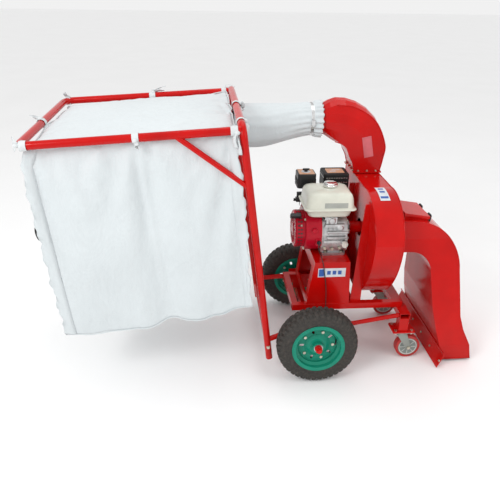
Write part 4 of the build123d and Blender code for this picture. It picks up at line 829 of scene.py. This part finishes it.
def build_sleeve():
    """Cloth sleeve from the bag's mouth, gathered under the clamp and ruffled past it."""
    stations = 90
    x_start = sleeve_low[0] - 0.010
    x_end = sleeve_high[0] + 0.006
    bm = bmesh.new()
    rings = []
    for s in range(stations + 1):
        x = x_start + (x_end - x_start) * s / stations
        t = min(1.0, max(0.0, (x - sleeve_low[0]) / (CLAMP_X - 0.02 - sleeve_low[0])))
        ease = t * t * (3 - 2 * t)
        centre_y = (SLEEVE_Y + (CLAMP_Y - SLEEVE_Y) * ease) / 1000
        centre_z = (SLEEVE_Z + (CLAMP_Z - SLEEVE_Z) * ease) / 1000
        radius = SLEEVE_R / 1000 + (CLAMP_R - SLEEVE_R / 1000) * (0.35 * t + 0.65 * ease)
        past = max(0.0, x - CLAMP_X - 0.007)
        near_clamp = exp(-((max(0.0, CLAMP_X - 0.008 - x) / 0.10) ** 1.1))
        squeezed = 1 - exp(-((abs(x - CLAMP_X) / 0.012) ** 2))
        flare = 0.0070 * (1 - exp(-past / 0.018))
        sag = -0.010 * sin(pi * t)
        ring = []
        for a in turns(160):
            pleat = 0.5 + 0.5 * sin(19 * a + 2.5 * ripple(cos(a) * 1.5, sin(a) * 1.5, 3.0))
            puff = ripple(cos(a) * 1.3, sin(a) * 1.3, x * 7)
            long_fold = ripple(cos(a) * 3.2, sin(a) * 3.2, x * 2.5 + 5)
            r = radius + flare
            ruffled = 0.0050 * (pleat - 0.4) * (1 if past else 0)
            r += (0.0055 * (pleat - 0.35) * near_clamp + ruffled) * squeezed
            r += 0.0065 * puff * sin(pi * t) + 0.0060 * long_fold * sin(pi * min(1, t + 0.12))
            bottom = max(0.0, -sin(a)) * 0.010 * sin(pi * t)
            hem = 0.004 * (pleat - 0.5) * (s == stations)
            ring.append((x + hem, centre_y + r * cos(a), centre_z + sag + r * sin(a) - bottom))
        rings.append(ring)
    add_rings(bm, rings, caps=False)
    bmesh.ops.recalc_face_normals(bm, faces=bm.faces)
    sleeve = piece("sleeve_cloth", bm, BAG_CLOTH)
    solidify(sleeve, 0.0010, 1)
    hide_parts("sleeve")


build_sleeve()

# Worm-drive clamp: screw head, housing and slots over the band.
bm = bmesh.new()
side_y = clamp_low[1] + 0.004
screw = ((0.0045, 0), (0.0045, 0.030), (0.0055, 0.032), (0.0055, 0.037))
add_turned(bm, (CLAMP_X, side_y, CLAMP_Z / 1000 - 0.020), (0, 0, 1), screw, 16)
add_block(bm, (CLAMP_X, side_y + 0.002, CLAMP_Z / 1000), (0.017, 0.010, 0.020))
for a in turns(60):
    spot = (CLAMP_X, CLAMP_Y / 1000 + 0.0797 * cos(a), CLAMP_Z / 1000 + 0.0797 * sin(a))
    add_block(bm, spot, (0.008, 0.0006, 0.0022), Matrix.Rotation(a + pi / 2, 3, "X"))
bevel(piece("clamp_worm", bm, CLAMP, smooth=False), 0.0004)


# Engine.
# Height of the shaft, in millimetres.
CRANK_Z = 630.0


def rounded_ring(centre, half_x, half_y, corner, z, count=12):
    """Rounded rectangle at a height, count points to a corner."""
    ring = []
    for quarter, (sx, sy) in enumerate(((1, 1), (-1, 1), (-1, -1), (1, -1))):
        for k in range(count):
            a = pi / 2 * (quarter + k / (count - 1))
            x = centre[0] + sx * (half_x - corner) + corner * cos(a)
            y = centre[1] + sy * (half_y - corner) + corner * sin(a)
            ring.append((x, y, z))
    return ring


def build_tank():
    """Pressed tank: tapered lower half, rolled flange, domed upper half."""
    low, high, centre = box_of("fuel_tank")
    hx, hy = (high[0] - low[0]) / 2, (high[1] - low[1]) / 2
    base = low[2]
    # Height, growth and corner radius of each level, in millimetres.
    sections = (
        (0, -33, 26), (1.5, -27, 28), (5, -23.5, 30), (10, -21.5, 30), (36, -12.5, 32),
        (38.5, -10.5, 30), (39, -1.2, 24), (40, 0, 24), (42.5, 0, 24), (43.5, -1.2, 24),
        (44, -8.5, 26), (48, -9.6, 27), (70, -11.2, 28), (90, -14, 29), (100.5, -17.2, 30),
        (107.5, -22.2, 31), (112.5, -30, 32), (115.5, -41, 31), (118, -58, 26), (120, -80, 18),
    )
    bm = bmesh.new()
    add_rings(bm, [
        rounded_ring(centre, hx + grow, hy + grow, corner, base + rise)
        for rise, grow, corner in (mm(*section) for section in sections)
    ])
    neck = ((0.0265, 0), (0.0265, 0.0150), (0.0255, 0.0160))
    add_turned(bm, (centre[0] + 0.012, centre[1] + 0.008, base + 0.110), (0, 0, 1), neck, 40)
    bmesh.ops.remove_doubles(bm, verts=bm.verts, dist=0.00002)
    bmesh.ops.recalc_face_normals(bm, faces=bm.faces)
    tank = piece("tank_shell", bm, CREAM)
    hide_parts("fuel_tank")
    lean = Matrix.Rotation(radians(-6), 3, "X")
    place = (centre[0] + 0.024, low[1] + 0.0108, base + 0.063)
    flat_piece("tank_label", LABEL_GREY, "black_plastic", (place, (0.108, 0.0012, 0.024), lean))


build_tank()

low, high, middle = box_of("fuel_cap")
cap = Vector((*middle[:2], low[2]))
cap_r = (high[0] - low[0]) / 2
bm = bmesh.new()
add_turned(bm, cap, (0, 0, 1), (
    (cap_r - 0.001, 0), (cap_r, 0.001), (cap_r, 0.008), (cap_r - 0.0015, 0.0095),
    (cap_r - 0.004, 0.010),
    (cap_r - 0.0045, 0.0165), (cap_r - 0.0075, 0.0185), (0.012, 0.0190), (0.002, 0.0192),
), 64)
for k in range(2):
    a = pi * k + 0.5
    spot = cap + Vector((cos(a) * cap_r * 0.93, sin(a) * cap_r * 0.93, 0.0055))
    add_block(bm, spot, (0.010, 0.022, 0.009), Matrix.Rotation(a, 3, "Z"))
bmesh.ops.recalc_face_normals(bm, faces=bm.faces)
cap_shell = piece("cap_shell", bm, CHROME, "fuel_cap")
bevel(cap_shell, 0.0006, angle=50)
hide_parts("fuel_cap")

# Bolts and castings on the crankcase, seen from the near side and the shaft end.
bm = bmesh.new()
side_cover_bolts = (
    (-80, -78), (-84, -30), (-82, 18), (-60, 58), (-20, 80), (30, 78),
    (66, 52), (82, 10), (82, -40), (78, -80), (0, -84),
)
for y, z in side_cover_bolts:
    add_hex(bm, at(162, y, CRANK_Z + z), (1, 0, 0), 0.0050, 0.0060, 0.0080)
for x, z in ((60, 560), (96, 556), (132, 562)):
    add_hex(bm, at(x, -91, z), (0, -1, 0), 0.0055, 0.0060, 0.0085)
for x, y in ((67, -81), (143, -81)):
    add_turned(bm, at(x, y, 538.3), (0, 0, 1), ((0.0095, 0), (0.0095, 0.0016)), 24)
for y, z in ((-74, 74), (-74, -74), (74, -74), (96, 40)):
    add_hex(bm, at(-37, y, CRANK_Z + z), (-1, 0, 0), 0.0045, 0.0050, 0.0075)
piece("engine_bolts", bm, ZINC, smooth=False)

bm = bmesh.new()
for x in (52, 74, 96, 118, 140):
    add_block(bm, at(x, -91, 628), (0.004, 0.010, 0.096))
add_block(bm, at(100, -90, 678), (0.092, 0.014, 0.016))
add_block(bm, at(100, -91, 596), (0.100, 0.012, 0.012))
add_block(bm, at(84, -78, 704), (0.052, 0.030, 0.034))
near = (0, -1, 0)
add_turned(bm, at(84, -88, 704), near, ((0.019, 0), (0.019, 0.006), (0.013, 0.009), (0.013, 0.014)), 32)
add_turned(bm, at(128, -86, 668), near, ((0.017, 0), (0.017, 0.010), (0.009, 0.013)), 28)
for z in (646, 618):
    tube = ((0.0050, 0), (0.0065, 0.004), (0.0065, 0.096), (0.0045, 0.104))
    add_turned(bm, at(66, -99, z), (1, 0, 0), tube, 18)
add_turned(bm, at(150, -86, 640), near, ((0.010, 0), (0.010, 0.014), (0.007, 0.018)), 24)
bevel(piece("engine_castings", bm, ALLOY, smooth=False), 0.0012)
flat_piece(
    "tank_brackets", ALLOY, "engine_alloy",
    (at(58, -60, 716), (0.012, 0.060, 0.020)), (at(118, -52, 722), (0.010, 0.050, 0.011)),
)

# Governor arm, spring and rods by the carburettor; fuel hose.
def add_hose(bm, radius, segments, *points):
    """Round bar or hose through points given in millimetres from the axle."""
    add_pipe(bm, path_points([at(*p) for p in points]), radius, segments)


bm = bmesh.new()
add_hose(bm, 0.0016, 8, (-20, 92, 742), (-40, 60, 744), (-52, 30, 742), (-44, -20, 738))
add_hose(bm, 0.0014, 8, (30, 100, 742), (48, 80, 730), (60, 60, 724), (70, 30, 726))
coil = [at(-30 + 0.7 * k, 100 + 5 * cos(k * 0.9), 738 + 5 * sin(k * 0.9)) for k in range(40)]
add_pipe(bm, coil, 0.0008, 6)
piece("governor_links", bm, STEEL)
bm = bmesh.new()
add_hose(bm, 0.0042, 12, (10, 112, 716), (-6, 96, 706), (-14, 74, 712), (4, 60, 727))
add_hose(
    bm, 0.0038, 12,
    (10, 160, 704.8), (-6, 158, 700), (-18, 140, 690), (-14, 108, 672), (8, 96, 660),
)
add_block(bm, at(-46, 84, 746), (0.030, 0.034, 0.016))
add_block(bm, at(-40, 104, 762), (0.026, 0.020, 0.026))
piece("hoses_and_leads", bm, BLACK_RUBBER)


def top_plate(name, middle, half_x, half_y, top):
    """Thin plate with round corners, let into a cover's top."""
    bm = bmesh.new()
    add_rings(bm, [
        rounded_ring(middle, half_x, half_y, 0.006, top + lift, 6) for lift in (-0.0008, 0.0009)
    ])
    piece(name, bm, PEACH, smooth=False)


# Air cleaner: moulded ribs on the base, top plate, disc; muffler shield with vents.
low, high, middle = box_of("air_cleaner_cover")
foot = (*middle[:2], low[2] - 0.001)
rib_z = low[2] + 0.020
bm = bmesh.new()
for k in range(7):
    add_block(bm, (low[0] + 0.014 + 0.0105 * k, low[1] - 0.0006, rib_z), (0.004, 0.0022, 0.026))
    for x in (high[0] + 0.0006, low[0] - 0.0006):
        add_block(bm, (x, low[1] + 0.014 + 0.011 * k, rib_z), (0.0022, 0.004, 0.026))
add_turned(bm, foot, (0, 0, 1), ((0.046, 0), (0.047, 0.002), (0.046, 0.004)), 48)
bevel(piece("air_cleaner_ribs", bm, BLACK, smooth=False), 0.0006)
top_plate("air_cleaner_plate", middle, 0.038, 0.040, high[2])
bm = bmesh.new()
disc = ((0.0225, 0), (0.0225, 0.0010), (0.0210, 0.0014), (0.0100, 0.0014))
add_turned(bm, (*middle[:2], high[2] + 0.0004), (0, 0, 1), disc, 48)
piece("air_cleaner_disc", bm, LABEL, smooth=False)

low, high, middle = box_of("muffler")
top = high[2]
bm = bmesh.new()
for k in range(9):
    for y in (low[1] - 0.0006, high[1] + 0.0006):
        for drop in (0.018, 0.040):
            add_block(bm, (low[0] + 0.015 + 0.012 * k, y, top - drop), (0.008, 0.0020, 0.004))
    for x in (high[0] + 0.0006, low[0] - 0.0006):
        add_block(bm, (x, low[1] + 0.015 + 0.011 * k, top - 0.018), (0.0020, 0.007, 0.004))
piece("muffler_louvres", bm, STEEL, smooth=False)
top_plate("muffler_plate", middle, 0.043, 0.034, top)
flat_piece(
    "muffler_marks", LABEL, "black_plastic",
    ((middle[0] + 0.008, middle[1] + 0.012, top + 0.0010), (0.040, 0.008, 0.0008)),
    ((middle[0] - 0.012, middle[1] - 0.010, top + 0.0010), (0.030, 0.012, 0.0008)),
)

# Recoil cover: centre boss, ribs; shroud boss ring.
face_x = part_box("recoil_cover")[0][0]


def on_cover(x, radius, a):
    """Point on the recoil cover: distance behind its face, radius and angle from the top."""
    return Vector((face_x + x, radius * sin(a), CRANK_Z / 1000 + radius * cos(a)))


bm = bmesh.new()
boss = ((0.030, -0.002), (0.030, 0.0015), (0.026, 0.0030), (0.004, 0.0032))
add_turned(bm, on_cover(0, 0, 0), (-1, 0, 0), boss, 48)
for a in turns(12):
    add_block(bm, on_cover(-0.0003, 0.055, a), (0.0026, 0.0032, 0.040), Matrix.Rotation(-a, 3, "X"))
bevel(piece("recoil_ribs", bm, ENGINE_RED, smooth=False), 0.0007)
bm = bmesh.new()
for a in turns(3):
    add_hex(bm, on_cover(0.030, 0.093, a + pi / 3), (-1, 0, 0), 0.0045, 0.005, 0.0070)
piece("recoil_bolts", bm, ZINC, smooth=False)
# Black patches round the cover's rim stand for its vent slots: painted shade where the openings go dark
# inside.
flat_piece("recoil_slot_shade", BLACK, "black_plastic", *(
    (on_cover(x, 0.0899, a), (0.009, 0.008, 0.0008), Matrix.Rotation(-a, 3, "X"))
    for x in (0.016, 0.029) for a in turns(30)
))
bm = bmesh.new()
boss = ((0.0120, 0), (0.0120, 0.0012), (0.0095, 0.0022), (0.0070, 0.0012), (0.0010, 0.0008))
add_turned(bm, at(4, -109.9, CRANK_Z + 30), near, boss, 32)
piece("shroud_boss", bm, ENGINE_RED, smooth=False)


# Blower, elbow, nozzle and chassis details.
bolt_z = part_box("discharge_elbow")[0][2] + 0.004
spots = [(sx * 69, -66 + 44 * k) for k in range(4) for sx in (-1, 1)]
spots += [(-45 + 45 * k, sy * 84) for k in range(3) for sy in (-1, 1)]
bm = bmesh.new()
for x, y in spots:
    place = at(310 + x, 270 + y, 0)
    place.z = bolt_z
    add_hex(bm, place, (0, 0, 1), 0.0045, 0.0050, 0.0065)
piece("outlet_bolts", bm, ZINC, smooth=False)


# Elbow stations: centre along X and Z, turn, half reach and roundness.
ELBOW = (
    (310, 852, 0, 65, 0.0), (309, 905, 6, 77, 0.0), (303, 960, 18, 95, 0.15),
    (270, 1036, 45, 103, 0.45), (205, 1082, 72, 108, 0.7), (138, 1096, 90, 106, 0.85),
)


def elbow_edge(side, outwards=1):
    """Corner line of the elbow on one side, outside or inside the bend."""
    line = []
    for x, z, turn, reach, rounding in ELBOW:
        share = rounding if outwards > 0 else rounding * 0.4
        scale = sqrt(2) + share * (1 - sqrt(2))
        corner = reach * sqrt(0.5) * scale * outwards
        half = 80 * sqrt(0.5) * scale * side
        a = radians(turn)
        line.append(at(x + corner * cos(a), 270 + half, z + corner * sin(a)))
    return path_points(line, 8)


bm = bmesh.new()
for side in (-1, 1):
    add_pipe(bm, elbow_edge(side), 0.0030, 10)
    add_pipe(bm, elbow_edge(side, -1), 0.0022, 10)
piece("elbow_seams", bm, RED)
lean = Matrix.Rotation(radians(-12), 3, "Y")
flat_piece("elbow_label", LABEL_FADED, "red_paint", (at(303, 189.2, 975), (0.046, 0.0012, 0.104), lean))


def scroll_line(reach):
    """Blower's rim as (y, z) in millimetres, from the outlet's near side round to its far side."""
    arcs = (
        ((-20, 210), (-202, 158), (-282, 24)), ((-282, 24), (-252, -118), (-120, -290)),
        ((-120, -290), (190, -274), (350, 0)),
    )
    line = [(190, 206), (190, 210), (85, 210)]
    for (ax, ay), (bx, by), (cx, cy) in arcs:
        d = 2 * (ax * (by - cy) + bx * (cy - ay) + cx * (ay - by))
        aa, bb, cc = ax * ax + ay * ay, bx * bx + by * by, cx * cx + cy * cy
        ux = (aa * (by - cy) + bb * (cy - ay) + cc * (ay - by)) / d
        uy = (aa * (cx - bx) + bb * (ax - cx) + cc * (bx - ax)) / d
        radius = hypot(ax - ux, ay - uy)
        first, last = atan2(ay - uy, ax - ux), atan2(cy - uy, cx - ux)
        middle = atan2(by - uy, bx - ux)
        while middle < first:
            middle += tau
        while last < middle:
            last += tau
        for k in range(25):
            t = first + (last - first) * k / 24
            line.append((ux + (radius + reach) * cos(t), uy + (radius + reach) * sin(t)))
    line.append((350 + reach, 205))
    return line


bm = bmesh.new()
for x in (245.6, 374.4):
    points = [at(x, y, CRANK_Z + z) for y, z in scroll_line(0.8)]
    add_pipe(bm, points, 0.0022, 8)
piece("housing_welds", bm, RED)


def add_bead(bm, points, radius=0.0028):
    """Ripply weld bead along a line of points."""
    line = []
    for a, b in zip(points, points[1:]):
        steps = max(2, int((b - a).length / 0.003))
        line += [a.lerp(b, k / steps) for k in range(steps)]
    line.append(points[-1])
    add_pipe(bm, line, lambda t: radius * (0.85 + 0.22 * sin(t * len(line) * 1.6)), 8)


# Weld beads where tubes and plates meet.
bm = bmesh.new()
for side in (-1, 1):
    y = side * 168
    add_bead(bm, [at(-28, y, 298.5), at(184, y, 298.5)])
    for x in (-28, 184):
        add_bead(bm, [at(x, side * 165, 298.5), at(x, side * 142, 298.5)])
    for x in (425, 475):
        add_bead(bm, [at(x, side * 140, 268.5), at(x, side * 170, 268.5)])
    for z in (209, 268):
        add_bead(bm, [at(-40, side * 158.5, z), at(40, side * 158.5, z)])
piece("chassis_welds", bm, RED)

# Blank plates where the machine carries its labels.
flat_piece("pedestal_label", LABEL, "red_paint", (at(86, -168.6, 470), (0.132, 0.0009, 0.046)))
flat_piece(
    "pedestal_label_marks", LABEL_BLUE, "red_paint",
    (at(37, -169.2, 470), (0.026, 0.0009, 0.038)),
    *((at(72 + 26 * k, -169.2, 470), (0.017, 0.0009, 0.020)) for k in range(3)),
)

line = [p for p in scroll_line(1.4) if p[0] <= -10 and p[1] > 60]


def add_rim_patch(bm, first, last, x_low, x_high, lift):
    """Strip on the blower's rim, along the line's points from first to last."""
    verts = []
    for y, z in line[first:last + 1]:
        normal = Vector((0, y, z)).normalized() * lift / 1000
        verts.append([bm.verts.new(at(x, y, CRANK_Z + z) + normal) for x in (x_low, x_high)])
    for low, high in zip(verts, verts[1:]):
        bm.faces.new((low[0], low[1], high[1], high[0]))


bm = bmesh.new()
add_rim_patch(bm, 1, min(9, len(line) - 1), 286, 332, 0.4)
piece("housing_label", bm, LABEL)
bm = bmesh.new()
for first, x_low, x_high in ((7, 291, 327), (2, 297, 321), (4, 297, 321)):
    add_rim_patch(bm, first, first + 1, x_low, x_high, 1.0)
piece("housing_label_marks", bm, LABEL_BLUE)

# Nozzle: crown stiffener welds, lip hem and side seams.
bm = bmesh.new()
add_pipe(bm, [at(806, -262, 13.5), at(806, 262, 13.5)], 0.0030, 8)
for side in (-1, 1):
    add_pipe(bm, [at(656, side * 262, 13.5), at(806, side * 262, 13.5)], 0.0030, 8)
    outline = [at(376, side * 122, 703.4), at(472, side * 122, 703.4)]
    for k in range(1, 17):
        a = pi / 2 - pi / 2 * k / 16
        x, z = 472 + 243 * cos(a), 460 + 243 * sin(a)
        wide = 122 if z > 613 else 122 + (613 - z) / 521 * 140
        outline.append(at(x, side * wide, z))
    for x, z in ((734, 235), (753, 168), (789, 92)):
        outline.append(at(x, side * (122 + (613 - z) / 521 * 140), z))
    outline.append(at(806, side * 262, 13))
    add_pipe(bm, outline, 0.0022, 8)
add_pipe(bm, [at(789.5, -261, 92), at(789.5, 261, 92)], 0.0022, 8)
add_pipe(bm, [at(753.5, -232, 168), at(753.5, 232, 168)], 0.0016, 8)
piece("nozzle_seams", bm, RED)

# Rubber catches over the free edge of the hatch, on the blocks that hold them.
bm = bmesh.new()
tilt = Matrix.Rotation(radians(9), 3, "Y")
base = at(492, 0, 713)
for y in (-60, 60):
    spot = base + tilt @ mm(72, y, 11)
    add_block(bm, spot, (0.012, 0.026, 0.004), tilt)
    add_turned(bm, spot + tilt @ mm(0, -14, 2), (0, 1, 0), ((0.0045, 0), (0.0045, 0.028)), 14)
piece("latch_tops", bm, BLACK_RUBBER, smooth=False)

# Bolts through the hoop's legs and arms, plugs in the open tube ends.
bm = bmesh.new()
for side in (-1, 1):
    add_hex(bm, at(-223.5, side * 309.5, 157), (0, side, 0.1), 0.0065, 0.0060, 0.0090)
piece("hoop_bolts", bm, ZINC, smooth=False)
bm = bmesh.new()
leg = Vector((148, 125, -1139)).normalized()
for side in (-1, 1):
    end = at(-214, side * 286, 82)
    along = Vector((leg.x, -side * leg.y, leg.z))
    add_turned(bm, end - along * 0.004, along, ((0.0136, 0), (0.0136, 0.0045), (0.0120, 0.0055)), 24)
piece("hoop_plugs", bm, BLACK, smooth=False)

# Stop cable on the route of its solid.
SWITCH = (26, 600)
ROUTE = (
    (0, -99, -17.2), (3, -112, -44), (8, -146, -52), (14, -178, -78), (24, -172.5, -130),
    (33, -173, -180), (38, -177, -230), (41, -174, -280), (43, -176, -329),
)
curve = bpy.data.curves.new("stop_cable_line", "CURVE")
curve.dimensions = "3D"
spline = curve.splines.new("NURBS")
spline.points.add(len(ROUTE) - 1)
for point, (x, y, z) in zip(spline.points, ROUTE):
    point.co = (*at(SWITCH[0] + x, y, SWITCH[1] + z), 1)
spline.order_u = 3
spline.use_endpoint_u = True
spline.resolution_u = 12
curve.bevel_depth = 0.002
curve.bevel_resolution = 4
curve.materials.append(BLACK_RUBBER)
cable = in_scene("stop_cable_line", curve)
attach(cable, MACHINE)
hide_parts("stop_cable")


# Floor, light and camera.
def build_stage():
    tone = Nodes("floor")
    pale = tone.ramp(tone.noise(1.5, 4), 0.3, 0.7, (grey(0.93), grey(0.95)))
    tone.surface(Base_Color=pale, Roughness=0.9)
    bm = bmesh.new()
    bm.faces.new([bm.verts.new(p) for p in ((-30, -30, 0), (30, -30, 0), (30, 30, 0), (-30, 30, 0))])
    floor = piece("floor", bm, tone.material, body=None)
    world = bpy.data.worlds.new("studio")
    scene.world = world
    world.use_nodes = True
    tone.feed(world.node_tree.nodes["Background"], {"Color": (1, 1, 1, 1), "Strength": 0.88})
    for name, place, aim, size, power in (
        ("key", (-2.6, -2.6, 3.0), (0, 0, 0.6), 1.5, 66),
        ("fill", (3.0, -2.4, 2.6), (0.2, 0, 0.5), 1.6, 16),
        ("top", (0.2, 0.6, 4.0), (0, 0, 0.5), 2.0, 18),
    ):
        data = bpy.data.lights.new(name, "AREA")
        data.energy = power
        data.size = size
        lamp = in_scene(name, data)
        lamp.location = place
        lamp.rotation_euler = (Vector(aim) - Vector(place)).to_track_quat("-Z", "Y").to_euler()


build_stage()

# Heading, downward tilt and roll of the camera.
yaw, pitch, roll = radians(5.31), radians(25.96), radians(1.04)
lens = bpy.data.cameras.new("camera")
lens.sensor_width = 36.0
lens.lens = 40.52
lens.shift_x = -0.002
lens.clip_start = 0.05
lens.clip_end = 100
camera = in_scene("camera", lens)
camera.matrix_world = (
    Matrix.Translation((AXLE - 0.514, -2.472, 1.725)) @ Matrix.Rotation(-yaw, 4, "Z")
    @ Matrix.Rotation(pi / 2 - pitch, 4, "X") @ Matrix.Rotation(roll, 4, "Z")
)
scene.camera = camera
scene.view_settings.view_transform = "Standard"
